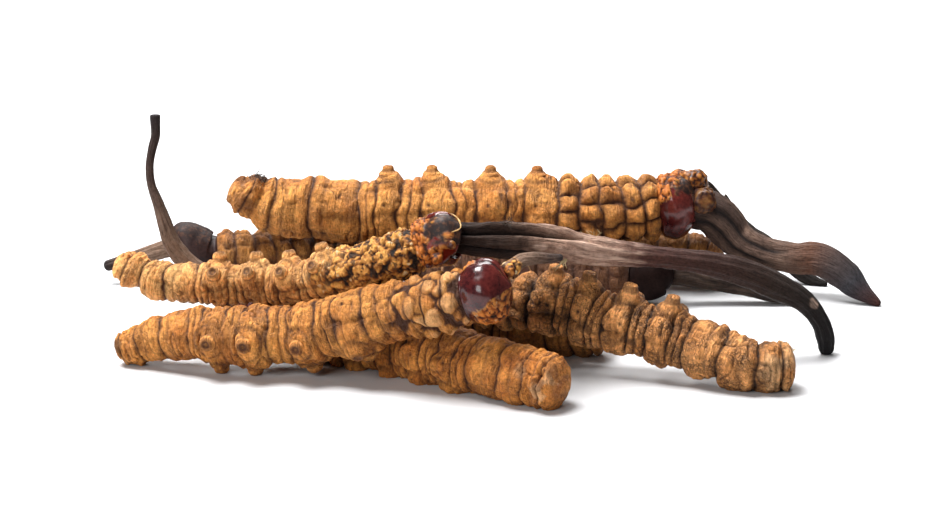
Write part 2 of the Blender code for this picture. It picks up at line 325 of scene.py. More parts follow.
def closed_grid(points: Array, masks: dict[str, Array], grain: Array) -> Surface:
    """Return the closed surface of a grid that wraps round in its sides.

    Ring i and side j give the quad (i, j), (i, j+1), (i+1, j+1), (i+1, j).
    Each end is closed by a fan from the mean point of its last ring.

    Args:
        points: Grid of points in millimetres, shape (rings, sides, 3).
        masks: Values on the same grid, by attribute name.
        grain: Place on the straightened body in millimetres, as points.

    Returns:
        The surface, faces outwards.
    """
    rings, sides = points.shape[:2]
    index = np.arange(rings * sides).reshape(rings, sides)
    near = np.roll(index, -1, axis=1)
    quads = np.stack([index[:-1], near[:-1], near[1:], index[1:]], axis=-1).reshape(-1, 4)
    first = np.full(sides, rings * sides)
    last = first + 1
    fans = np.vstack([
        np.stack([first, near[0], index[0]], axis=-1),
        np.stack([last, index[-1], near[-1]], axis=-1),
    ])
    poles = np.stack([points[0].mean(axis=0), points[-1].mean(axis=0)])
    vertices = np.vstack([points.reshape(-1, 3), poles])
    values = {"grain": np.vstack([grain.reshape(-1, 3), grain[0].mean(0), grain[-1].mean(0)])}
    for name, mask in masks.items():
        whole = np.broadcast_to(mask, (rings, sides))
        values[name] = np.concatenate([whole.ravel(), [whole[0].mean(), whole[-1].mean()]])
    return Surface(vertices, quads, fans, values).turned_out()


def swept(points: Array, radii: Array, sides: int) -> Surface:
    """Return a thin closed tube along points: a circle of each radius, square to them.

    Args:
        points: Places in millimetres, shape (count, 3).
        radii: Radius at each place in millimetres.
        sides: Number of sides of the tube.

    Returns:
        The surface of the tube, with its share of the length as a mask.
    """
    axis = unit(np.gradient(points, axis=0))
    reference = np.eye(3)[np.argmin(np.abs(axis).sum(axis=0))]
    one = unit(np.cross(axis, reference))
    two = np.cross(axis, one)
    turned = np.linspace(0.0, 2.0 * np.pi, sides, endpoint=False)[None, :, None]
    spokes = np.cos(turned) * one[:, None] + np.sin(turned) * two[:, None]
    grid = points[:, None] + radii[:, None, None] * spokes
    share = np.linspace(0.0, 1.0, len(points))[:, None]
    return closed_grid(grid, {"share": share}, grid)


def mesh_object(name: str, surfaces: list[Surface], material: Material) -> Object:
    """Make one mesh object of one or more closed surfaces.

    Args:
        name: Name of the object and of its mesh.
        surfaces: The surfaces, which need not share the same masks.
        material: The material of the whole object.

    Returns:
        The object, at the origin, with its place in its mesh.
    """
    starts = np.cumsum([0] + [len(surface.vertices) for surface in surfaces])
    vertices = np.vstack([surface.vertices for surface in surfaces]) * MM
    quads = np.vstack([s.quads + start for s, start in zip(surfaces, starts)])
    fans = np.vstack([s.fans + start for s, start in zip(surfaces, starts)])
    corners = np.concatenate([quads.ravel(), fans.ravel()]).astype(np.int32)
    sizes = np.concatenate([np.full(len(quads), 4), np.full(len(fans), 3)])
    mesh = bpy.data.meshes.new(name)
    mesh.vertices.add(len(vertices))
    mesh.vertices.foreach_set("co", vertices.astype(np.float32).ravel())
    mesh.loops.add(len(corners))
    mesh.loops.foreach_set("vertex_index", corners)
    mesh.polygons.add(len(sizes))
    mesh.polygons.foreach_set("loop_start", (np.cumsum(sizes) - sizes).astype(np.int32))
    mesh.update(calc_edges=True)
    mesh.validate()
    for mask in sorted(set().union(*(surface.masks for surface in surfaces))):
        flat = mask != "grain"
        parts = [
            s.masks.get(mask, np.zeros(len(s.vertices) if flat else (len(s.vertices), 3)))
            for s in surfaces
        ]
        layer = mesh.attributes.new(mask, "FLOAT" if flat else "FLOAT_VECTOR", "POINT")
        values = np.concatenate(parts).astype(np.float32).ravel()
        layer.data.foreach_set("value" if flat else "vector", values)
    mesh.shade_smooth()
    mesh.materials.append(material)
    thing = bpy.data.objects.new(name, mesh)
    bpy.context.scene.collection.objects.link(thing)
    return thing


def deliver(piece: Object, slot: str, *nodes: str) -> None:
    """Hand a finished piece over: its body and what it stands for.

    Args:
        piece: The finished object.
        slot: Name of its finish slot; not used.
        *nodes: The CAD nodes that it stands for.
    """
    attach(piece, "root")
    if nodes:
        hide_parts(*nodes)
    log.info("%s: %d vertices", piece.name, len(piece.data.vertices))


# --------------------------------------------------------------------------
# Materials
# --------------------------------------------------------------------------


class Graph:
    """A short way to write the nodes of one material or node group."""

    def __init__(self, tree: NodeTree) -> None:
        """Keep the tree that the nodes go into."""
        self.tree = tree

    def node(self, kind: str, **settings: object) -> Node:
        """Return a new node of a kind, with its settings.

        Args:
            kind: The node's type name.
            **settings: Its own settings, by name.

        Returns:
            The node.
        """
        made = self.tree.nodes.new(kind)
        for name, value in settings.items():
            setattr(made, name, value)
        return made

    def feed(self, socket: NodeSocket, value: object) -> None:
        """Link another node's socket to a socket, or set its own value.

        Args:
            socket: The input to fill.
            value: A socket, or a plain value.
        """
        if isinstance(value, NodeSocket):
            self.tree.links.new(value, socket)
        elif isinstance(value, tuple) and len(value) == 3 and socket.type == "RGBA":
            socket.default_value = (*value, 1.0)
        else:
            socket.default_value = value

    def math(self, operation: str, a: object, b: object = 0.0, clamp: bool = False) -> NodeSocket:
        """Return the result of one arithmetic step on two values.

        Args:
            operation: The arithmetic operation.
            a: First value or socket.
            b: Second value or socket.
            clamp: Whether the result is kept from 0 to 1.

        Returns:
            The socket of the result.
        """
        made = self.node("ShaderNodeMath", operation=operation, use_clamp=clamp)
        self.feed(made.inputs[0], a)
        self.feed(made.inputs[1], b)
        return made.outputs[0]

    def times(self, a: object, b: object, clamp: bool = False) -> NodeSocket:
        """Return one value times another."""
        return self.math("MULTIPLY", a, b, clamp)

    def mix(self, factor: object, a: object, b: object, blend: str = "MIX") -> NodeSocket:
        """Return colour a blended with colour b by a factor.

        Args:
            factor: Share of b, from 0 to 1.
            a: First colour or socket.
            b: Second colour or socket.
            blend: The way of blending.

        Returns:
            The socket of the blended colour.
        """
        made = self.node("ShaderNodeMix", data_type="RGBA", blend_type=blend, clamp_factor=True)
        self.feed(made.inputs["Factor"], factor)
        self.feed(made.inputs[6], a)
        self.feed(made.inputs[7], b)
        return made.outputs[2]

    def attribute(self, name: str, output: str = "Fac") -> NodeSocket:
        """Return the value of a mesh attribute."""
        return self.node("ShaderNodeAttribute", attribute_name=name).outputs[output]

    def span(
        self, value: object, low: float, high: float, to_low: float = 0.0, to_high: float = 1.0,
    ) -> NodeSocket:
        """Return a value moved from the range low..high to to_low..to_high, clamped.

        Args:
            value: The value or socket.
            low: Start of the range that it comes from.
            high: End of that range.
            to_low: Start of the range that it goes to.
            to_high: End of that range.

        Returns:
            The socket of the moved value.
        """
        made = self.node("ShaderNodeMapRange", clamp=True)
        self.feed(made.inputs["Value"], value)
        for name, number in zip(
            ("From Min", "From Max", "To Min", "To Max"), (low, high, to_low, to_high),
        ):
            made.inputs[name].default_value = number
        return made.outputs[0]

    def ramp(self, value: object, stops: tuple[tuple[float, Colour], ...]) -> NodeSocket:
        """Return a colour read from a ramp of (place, colour) stops.

        Args:
            value: The value or socket to look up.
            stops: Places from 0 to 1 with their colours.

        Returns:
            The socket of the colour.
        """
        made = self.node("ShaderNodeValToRGB")
        while len(made.color_ramp.elements) < len(stops):
            made.color_ramp.elements.new(1.0)
        for element, (place, colour) in zip(made.color_ramp.elements, stops):
            element.position = place
            element.color = (*colour, 1.0)
        self.feed(made.inputs[0], value)
        return made.outputs[0]

    def noise(
        self, vector: object, size: float, detail: float = 3.0, roughness: float = 0.55,
    ) -> NodeSocket:
        """Return noise of a size in the vector's units, about 0.5 on average.

        Args:
            vector: The socket of the place.
            size: Size of the noise, in the vector's units.
            detail: How many finer layers are added.
            roughness: Strength of the finer layers.

        Returns:
            The socket of the noise.
        """
        made = self.node("ShaderNodeTexNoise", noise_dimensions="3D")
        self.feed(made.inputs["Vector"], vector)
        made.inputs["Scale"].default_value = 1.0 / size
        made.inputs["Detail"].default_value = detail
        made.inputs["Roughness"].default_value = roughness
        return made.outputs[0]

    def scaled(self, vector: object, factors: tuple[float, float, float]) -> NodeSocket:
        """Return a vector with each of its parts multiplied by its own factor.

        Args:
            vector: The socket of the vector.
            factors: Factor for each of its parts.

        Returns:
            The socket of the scaled vector.
        """
        made = self.node("ShaderNodeMapping")
        self.feed(made.inputs["Vector"], vector)
        made.inputs["Scale"].default_value = factors
        return made.outputs[0]

    def place(self) -> NodeSocket:
        """Return the place on the object in its own space, in millimetres."""
        return self.scaled(self.node("ShaderNodeTexCoord").outputs["Object"], (1.0 / MM,) * 3)

    def bump(self, height: object, strength: float, distance: float) -> NodeSocket:
        """Return the surface's normal, bent by a height.

        Args:
            height: The height, as a socket.
            strength: Strength of the bend.
            distance: What a height of one stands for, in metres.

        Returns:
            The socket of the bent normal.
        """
        made = self.node("ShaderNodeBump")
        made.inputs["Strength"].default_value = strength
        made.inputs["Distance"].default_value = distance
        self.feed(made.inputs["Height"], height)
        return made.outputs["Normal"]

    def use(self, group: NodeTree, **values: object) -> Node:
        """Return a node of a shared group, with its inputs fed by name.

        Args:
            group: The shared group.
            **values: Input values; an underscore stands for a space.

        Returns:
            The group's node.
        """
        made = self.node("ShaderNodeGroup", node_tree=group)
        for name, value in values.items():
            self.feed(made.inputs[name.replace("_", " ")], value)
        return made


def start_material(name: str) -> tuple[Material, Graph, Node]:
    """Start a material.

    Args:
        name: Name of the material.

    Returns:
        The material, its graph and its shader.
    """
    made = bpy.data.materials.new(name)
    made.use_nodes = True
    return made, Graph(made.node_tree), made.node_tree.nodes["Principled BSDF"]


class Socket(Enum):
    """The kinds of value that go into and out of a node group."""

    VALUE = "NodeSocketFloat"
    COLOUR = "NodeSocketColor"
    VECTOR = "NodeSocketVector"


def new_group(
    name: str, inputs: dict[str, Socket], outputs: dict[str, Socket],
) -> tuple[NodeTree, Graph, Node, Node]:
    """Start a shared node group.

    Args:
        name: Name of the group.
        inputs: Socket kind for each input name.
        outputs: Socket kind for each output name.

    Returns:
        The group, its graph, its input node and its output node.
    """
    tree = bpy.data.node_groups.new(name, "ShaderNodeTree")
    for label, kind in inputs.items():
        tree.interface.new_socket(label, in_out="INPUT", socket_type=kind.value)
    for label, kind in outputs.items():
        tree.interface.new_socket(label, in_out="OUTPUT", socket_type=kind.value)
    graph = Graph(tree)
    return tree, graph, graph.node("NodeGroupInput"), graph.node("NodeGroupOutput")


class Effects:
    """The node groups that more than one finish uses, each built once."""

    def __init__(self) -> None:
        """Build every group."""
        self.mottle = self.build_mottle()
        self.crust = self.build_crust()
        self.lines = self.build_lines()
        self.leather = self.build_leather()

    def crusted(self, graph: Graph, colour: object) -> NodeSocket:
        """Cover a colour with crust where the mesh's own masks call for it.

        Args:
            graph: The graph of the material.
            colour: The colour under the crust.

        Returns:
            The socket of the crusted colour.
        """
        made = graph.use(
            self.crust, Colour=colour, Mask=graph.attribute("crust"),
            Grain=graph.attribute("dome"), Tone=graph.attribute("tone"),
        )
        return made.outputs["Colour"]

    @staticmethod
    def build_mottle() -> NodeTree:
        """Build uneven tone: broad patches and fine speckle of one colour.

        Returns:
            The group.
        """
        tree, graph, enter, leave = new_group(
            "mottle",
            {"Vector": Socket.VECTOR, "Colour": Socket.COLOUR, "Second Colour": Socket.COLOUR},
            {"Colour": Socket.COLOUR, "Height": Socket.VALUE},
        )
        broad = graph.span(graph.noise(enter.outputs["Vector"], 3.2, 4.0, 0.6), 0.36, 0.64)
        fine = graph.noise(enter.outputs["Vector"], 0.34, 5.0, 0.7)
        tone = graph.mix(broad, enter.outputs["Colour"], enter.outputs["Second Colour"])
        speckle = graph.span(fine, 0.30, 0.70, 0.60, 1.36)
        joined = graph.node("ShaderNodeVectorMath", operation="SCALE")
        graph.feed(joined.inputs[0], tone)
        graph.feed(joined.inputs["Scale"], speckle)
        graph.feed(leave.inputs["Colour"], joined.outputs[0])
        graph.feed(leave.inputs["Height"], fine)
        return tree

    @staticmethod
    def build_crust() -> NodeTree:
        """Build dried crust: painted shade between the grains, yellow-tan on them, and a few pale
        flecks as painted highlights.

        Returns:
            The group.
        """
        tree, graph, enter, leave = new_group(
            "crust",
            {
                "Colour": Socket.COLOUR, "Mask": Socket.VALUE, "Grain": Socket.VALUE,
                "Tone": Socket.VALUE,
            },
            {"Colour": Socket.COLOUR},
        )
        # painted shade: the ramp runs from near black in the hollows between grains to tan on their
        # tops
        grain = graph.ramp(enter.outputs["Grain"], (
            (0.0, (0.010, 0.005, 0.003)), (0.18, (0.045, 0.018, 0.006)),
            (0.40, (0.33, 0.115, 0.018)), (0.80, (0.80, 0.38, 0.085)),
        ))
        dark = graph.span(enter.outputs["Tone"], 0.12, 0.26, 0.85, 0.0)
        darker = graph.mix(dark, grain, (0.05, 0.022, 0.010))
        # painted highlights: pale flecks on the upper parts of a few grains
        pale = graph.times(
            graph.span(enter.outputs["Tone"], 0.91, 0.94),
            graph.span(enter.outputs["Grain"], 0.45, 0.7),
        )
        flecked = graph.mix(pale, darker, (0.72, 0.52, 0.28))
        graph.feed(
            leave.inputs["Colour"],
            graph.mix(enter.outputs["Mask"], enter.outputs["Colour"], flecked),
        )
        return tree

    @staticmethod
    def build_lines() -> NodeTree:
        """Build fine lines: noise drawn out along one way of the surface.

        Returns:
            The group.
        """
        tree, graph, enter, leave = new_group(
            "lines", {"Vector": Socket.VECTOR}, {"Line": Socket.VALUE},
        )
        drawn = graph.noise(enter.outputs["Vector"], 1.0, 3.0, 0.6)
        graph.feed(leave.inputs["Line"], graph.span(drawn, 0.30, 0.70))
        return tree

    @staticmethod
    def build_leather() -> NodeTree:
        """Build a net of fine cracks round small uneven cells, at two sizes.

        Returns:
            The group.
        """
        tree, graph, enter, leave = new_group(
            "leather", {"Vector": Socket.VECTOR}, {"Crack": Socket.VALUE},
        )
        bent = graph.node("ShaderNodeVectorMath", operation="MULTIPLY_ADD")
        wander = graph.node("ShaderNodeTexNoise", noise_dimensions="3D")
        graph.feed(wander.inputs["Vector"], enter.outputs["Vector"])
        wander.inputs["Scale"].default_value = 1.6
        graph.feed(bent.inputs[0], wander.outputs["Color"])
        bent.inputs[1].default_value = (0.5, 0.5, 0.5)
        graph.feed(bent.inputs[2], enter.outputs["Vector"])
        sizes = []
        for scale in (1.7, 3.6):
            cells = graph.node("ShaderNodeTexVoronoi", feature="DISTANCE_TO_EDGE")
            graph.feed(cells.inputs["Vector"], bent.outputs[0])
            cells.inputs["Scale"].default_value = scale
            sizes.append(cells.outputs["Distance"])
        broad = graph.span(sizes[0], 0.0, 0.13, 1.0, 0.0)
        fine = graph.span(sizes[1], 0.0, 0.16, 1.0, 0.0)
        crack = graph.math("MAXIMUM", broad, graph.times(fine, 0.6))
        patchy = graph.span(graph.noise(enter.outputs["Vector"], 1.8, 2.0, 0.5), 0.35, 0.60)
        graph.feed(leave.inputs["Crack"], graph.times(crack, patchy))
        return tree


@dataclass(frozen=True)
class LarvaSkin:
    """Dry leathery skin: ringed and mottled, with painted shade darkening its creases, wrinkles and
    cracks.
    """

    name: str
    light: Colour = (0.60, 0.26, 0.06)
    deep: Colour = (0.36, 0.13, 0.024)
    # colour of the painted shade in creases, wrinkle lines and cracks, also used for the dark pits
    crease: Colour = (0.060, 0.018, 0.005)
    pale: Colour = (0.88, 0.50, 0.23)
    tip: Colour = (0.060, 0.020, 0.012)
    crease_strength: float = 1.0
    bump: float = 0.8
    bump_distance: float = 0.00042
    leather: float = 0.45

    def material(self, effects: Effects) -> Material:
        """Build the material from the shared effects and this skin's colours.

        Args:
            effects: The shared node groups.

        Returns:
            The material.
        """
        made, graph, shader = start_material(self.name)
        place = graph.place()
        grain = graph.attribute("grain", "Vector")
        mottle = graph.use(effects.mottle, Vector=place, Colour=self.light, Second_Colour=self.deep)
        wrinkle = graph.use(
            effects.lines, Vector=graph.scaled(grain, (4.5, 0.9, 0.9)),
        ).outputs["Line"]
        colour = mottle.outputs["Colour"]
        # painted shade: darker towards the crease colour in the low lines of the wrinkles
        fine_lines = graph.span(wrinkle, 0.0, 0.34, 0.42, 0.0)
        colour = graph.mix(fine_lines, colour, self.crease)
        # painted shade: the crease mask darkens the skin in its grooves, folds and hollows
        shade = graph.times(graph.attribute("crease"), self.crease_strength, clamp=True)
        leather = graph.use(effects.leather, Vector=place)
        net = graph.times(leather.outputs["Crack"], self.leather)
        # painted shade in the cracks of the leather net
        colour = graph.mix(graph.times(net, 0.75), colour, self.crease)
        colour = graph.mix(graph.times(graph.attribute("pale"), 0.8), colour, self.pale)
        colour = graph.mix(shade, colour, self.crease)
        pits = graph.span(graph.noise(place, 0.55, 2.0, 0.5), 0.30, 0.22)
        colour = graph.mix(graph.times(pits, 0.55), colour, self.crease)
        crusted = effects.crusted(graph, colour)
        colour = graph.mix(graph.attribute("tip"), crusted, self.tip)
        graph.feed(shader.inputs["Base Color"], colour)
        graph.feed(
            shader.inputs["Roughness"], graph.span(mottle.outputs["Height"], 0.3, 0.7, 0.82, 0.55),
        )
        shader.inputs["Specular IOR Level"].default_value = 0.35
        relief = graph.math("ADD", mottle.outputs["Height"], graph.times(wrinkle, 0.9))
        relief = graph.math("SUBTRACT", relief, graph.times(net, 1.2))
        normal = graph.bump(relief, self.bump, self.bump_distance)
        graph.feed(shader.inputs["Normal"], normal)
        return made


@dataclass(frozen=True)
class HeadHorn:
    """Glossy dark red horn of a head capsule, patched with dull crust, with painted shade along its
    suture groove.
    """

    name: str
    light: Colour = (0.115, 0.018, 0.014)
    deep: Colour = (0.030, 0.004, 0.005)
    # colour of the painted shade along the suture groove
    crease: Colour = (0.008, 0.004, 0.004)
    crust_tint: Colour = (0.55, 0.36, 0.28)
    gloss: float = 0.6
    polish: tuple[float, float] = (0.12, 0.26)
    specular: float = 0.18
    bump: float = 0.35
    bump_distance: float = 0.00010

    def material(self, effects: Effects) -> Material:
        """Build the material from the shared effects and this horn's colours.

        Args:
            effects: The shared node groups.

        Returns:
            The material.
        """
        made, graph, shader = start_material(self.name)
        place = graph.place()
        mottle = graph.use(effects.mottle, Vector=place, Colour=self.light, Second_Colour=self.deep)
        # painted shade along the suture groove
        shade = graph.times(graph.attribute("crease"), 0.9, clamp=True)
        colour = graph.mix(shade, mottle.outputs["Colour"], self.crease)
        scuffs = graph.span(graph.noise(place, 0.5, 3.0, 0.6), 0.48, 0.66)
        stain = graph.mix(scuffs, (0.016, 0.009, 0.008), (0.085, 0.035, 0.018))
        colour = graph.mix(graph.attribute("pale"), colour, stain)
        mask = graph.attribute("crust")
        tinted = graph.mix(mask, effects.crusted(graph, colour), self.crust_tint, "MULTIPLY")
        graph.feed(shader.inputs["Base Color"], tinted)
        smooth = graph.span(mottle.outputs["Height"], 0.35, 0.65, *self.polish)
        dull = graph.math("MAXIMUM", mask, graph.times(graph.attribute("pale"), 0.6))
        graph.feed(shader.inputs["Roughness"], graph.math("ADD", smooth, graph.times(dull, 0.45)))
        shader.inputs["Specular IOR Level"].default_value = self.specular
        graph.feed(
            shader.inputs["Coat Weight"], graph.math("SUBTRACT", self.gloss, dull, clamp=True),
        )
        shader.inputs["Coat Roughness"].default_value = 0.12
        normal = graph.bump(mottle.outputs["Height"], self.bump, self.bump_distance)
        graph.feed(shader.inputs["Normal"], normal)
        return made


@dataclass(frozen=True)
class StalkFibre:
    """Dry fibrous stalk whose colour changes from its root to its tip, with painted shade in its
    fibre lines and grooves.
    """

    name: str
    stops: tuple[tuple[float, Colour], ...] = (
        (0.0, (0.19, 0.115, 0.076)), (0.35, (0.21, 0.130, 0.088)),
        (0.7, (0.075, 0.044, 0.034)), (1.0, (0.022, 0.016, 0.016)),
    )
    worn: Colour = (0.25, 0.155, 0.110)
    # colour of the painted shade in the grooves and fibre lines
    groove: Colour = (0.008, 0.005, 0.005)
    bump: float = 0.7
    bump_distance: float = 0.00028

    def material(self, effects: Effects) -> Material:
        """Build the material from the shared effects and this stalk's colours.

        Args:
            effects: The shared node groups.

        Returns:
            The material.
        """
        made, graph, shader = start_material(self.name)
        place = graph.place()
        grain = graph.attribute("grain", "Vector")
        along = graph.ramp(graph.attribute("share"), self.stops)
        mottle = graph.use(effects.mottle, Vector=place, Colour=along, Second_Colour=along)
        fibre = graph.use(
            effects.lines, Vector=graph.scaled(grain, (0.55, 7.0, 7.0)),
        ).outputs["Line"]
        broad = graph.use(
            effects.lines, Vector=graph.scaled(grain, (0.18, 1.7, 1.7)),
        ).outputs["Line"]
        # painted shade: darker towards the groove colour in the low lines of the fibres
        colour = graph.mix(
            graph.span(fibre, 0.0, 0.45, 0.65, 0.0), mottle.outputs["Colour"], self.groove,
        )
        wear = graph.times(graph.attribute("wear"), graph.span(broad, 0.25, 0.75, 0.35, 1.0))
        wear = graph.times(wear, graph.span(fibre, 0.2, 0.8, 0.35, 1.0))
        colour = graph.mix(wear, colour, self.worn)
        # painted shade in the stalk's long grooves
        colour = graph.mix(graph.attribute("crease"), colour, self.groove)
        crusted = effects.crusted(graph, colour)
        graph.feed(shader.inputs["Base Color"], crusted)
        graph.feed(shader.inputs["Roughness"], graph.span(fibre, 0.0, 1.0, 0.90, 0.60))
        shader.inputs["Specular IOR Level"].default_value = 0.22
        relief = graph.math("ADD", fibre, graph.times(mottle.outputs["Height"], 0.7))
        normal = graph.bump(relief, self.bump, self.bump_distance)
        graph.feed(shader.inputs["Normal"], normal)
        return made


@dataclass(frozen=True)
class PlainFinish:
    """One plain dull colour with a fine unevenness, for hairs and the floor."""

    name: str
    colour: Colour
    roughness: float = 0.8

    def material(self, effects: Effects) -> Material:
        """Build the material, its tone varied a little by the shared mottle.

        Args:
            effects: The shared node groups.

        Returns:
            The material.
        """
        made, graph, shader = start_material(self.name)
        place = graph.place()
        mottle = graph.use(
            effects.mottle, Vector=place, Colour=self.colour, Second_Colour=self.colour,
        )
        graph.feed(shader.inputs["Base Color"], mottle.outputs["Colour"])
        shader.inputs["Roughness"].default_value = self.roughness
        return made


# --------------------------------------------------------------------------
# Larvae
# --------------------------------------------------------------------------


@dataclass(frozen=True)
class Relief:
    """How one larva's skin is shaped: depths in millimetres, places in shares."""

    ring_depth: float = 0.34
    fold_depth: float = 0.20
    thorax_rings: int = 5
    block_depth: float = 0.12
    block_count: int = 9
    lump: float = 0.24
    wrinkle: float = 0.14
    granule: float = 0.045
    granule_size: float = 0.42
    crust_share: float = 0.0
    pale_share: float = 0.0
    pale_tail: float = -1.0
    swell: float = 0.0
    bulge: float = 0.14
    crack: float = 0.15
    pit_depth: float = 0.14
    knot: float = 0.0
    knot_size: float = 1.55
    knot_share: float = 0.0
    tail_rough: float = 0.22
    leg_mound: float = 0.35
    mound_width: float = 1.15
    leg_dark: float = 0.9
    tail_start: float = 0.955


@dataclass(frozen=True)
class Waist:
    """A place where a body narrows, or swells where the depth is below zero."""

    share: float
    width: float
    depth: float
    angle: float = 0.0
    arc: float = 360.0


@dataclass(frozen=True)
class Patch:
    """A patch on a body or a head: its middle, its reach in millimetres and its strength."""

    share: float
    angle: float
    reach: float
    strength: float = 1.0


@dataclass(frozen=True)
class LegShape:
    """One stubby leg: a ringed cone with a flat dished tip, in millimetres."""

    base_radius: float = 1.30
    tip_radius: float = 0.62
    root_depth: float = 1.3
    rings: float = 3.0
    ring_height: float = 0.055
    dish: float = 0.16
    paleness: float = 0.35
    hollow: float = 0.85
    rows: int = 30
    sides: int = 34

    def surface(
        self, base: Array, outward: Array, across: Array, reach: float, noise: Noise, dark: float,
    ) -> Surface:
        """Return the leg from inside the body out to its tip.

        The radius falls from base to tip as a power of the height, with a sine of
        small rings on it.  The last rows turn over the rim and into the dish.

        Args:
            base: Where the leg starts, inside the body.
            outward: Unit direction of the leg.
            across: Unit direction square to it.
            reach: Length from the base to the tip.
            noise: Unevenness of the leg.
            dark: How dark the tip is, from 0 to 1.

        Returns:
            The closed surface of the leg.
        """
        rise = np.linspace(0.0, 1.0, self.rows)
        taper = (1.0 - rise) ** self.hollow
        radius = self.tip_radius + (self.base_radius - self.tip_radius) * taper
        radius = radius + self.ring_height * np.sin(2.0 * np.pi * self.rings * rise) * ease(
            0.1, 0.3, rise,
        )
        height = rise * reach
        radius = np.concatenate([radius, np.array(LEG_RIM_RADII) * self.tip_radius])
        height = np.concatenate([height, reach + np.array(LEG_RIM_DROPS) * self.dish])
        tip = np.concatenate([ease(0.87, 0.99, rise) * 0.65, LEG_RIM_DARKNESS]) * dark
        # painted shade: the crease mask darkens the hollows between the leg's rings and its root in
        # the body
        hollows = ease(0.2, -0.6, np.sin(2.0 * np.pi * self.rings * rise))
        crease = np.concatenate([0.55 * hollows, np.zeros(len(LEG_RIM_RADII))])
        crease[: self.rows // 3] += 0.25
        turned = np.linspace(0.0, 2.0 * np.pi, self.sides, endpoint=False)[None, :, None]
        other = np.cross(outward, across)
        spokes = np.cos(turned) * across + np.sin(turned) * other
        grid = base + height[:, None, None] * outward + radius[:, None, None] * spokes
        uneven = 1.0 + 0.07 * noise.layered(grid, 0.7, 2, 40)
        grid = base + height[
            :, None, None,
        ] * outward + (radius[:, None] * uneven)[..., None] * spokes
        bumps = 0.05 * noise.smooth(grid, 0.5, 44)
        bumps = bumps * ease(0.0, 0.5, np.minimum(height / reach, 1.0))[:, None]
        grid += bumps[..., None] * outward
        pale = np.where(tip < 0.05, self.paleness, 0.0)
        masks = {"tip": tip[:, None], "crease": crease[:, None], "pale": pale[:, None]}
        return closed_grid(grid, masks, grid)


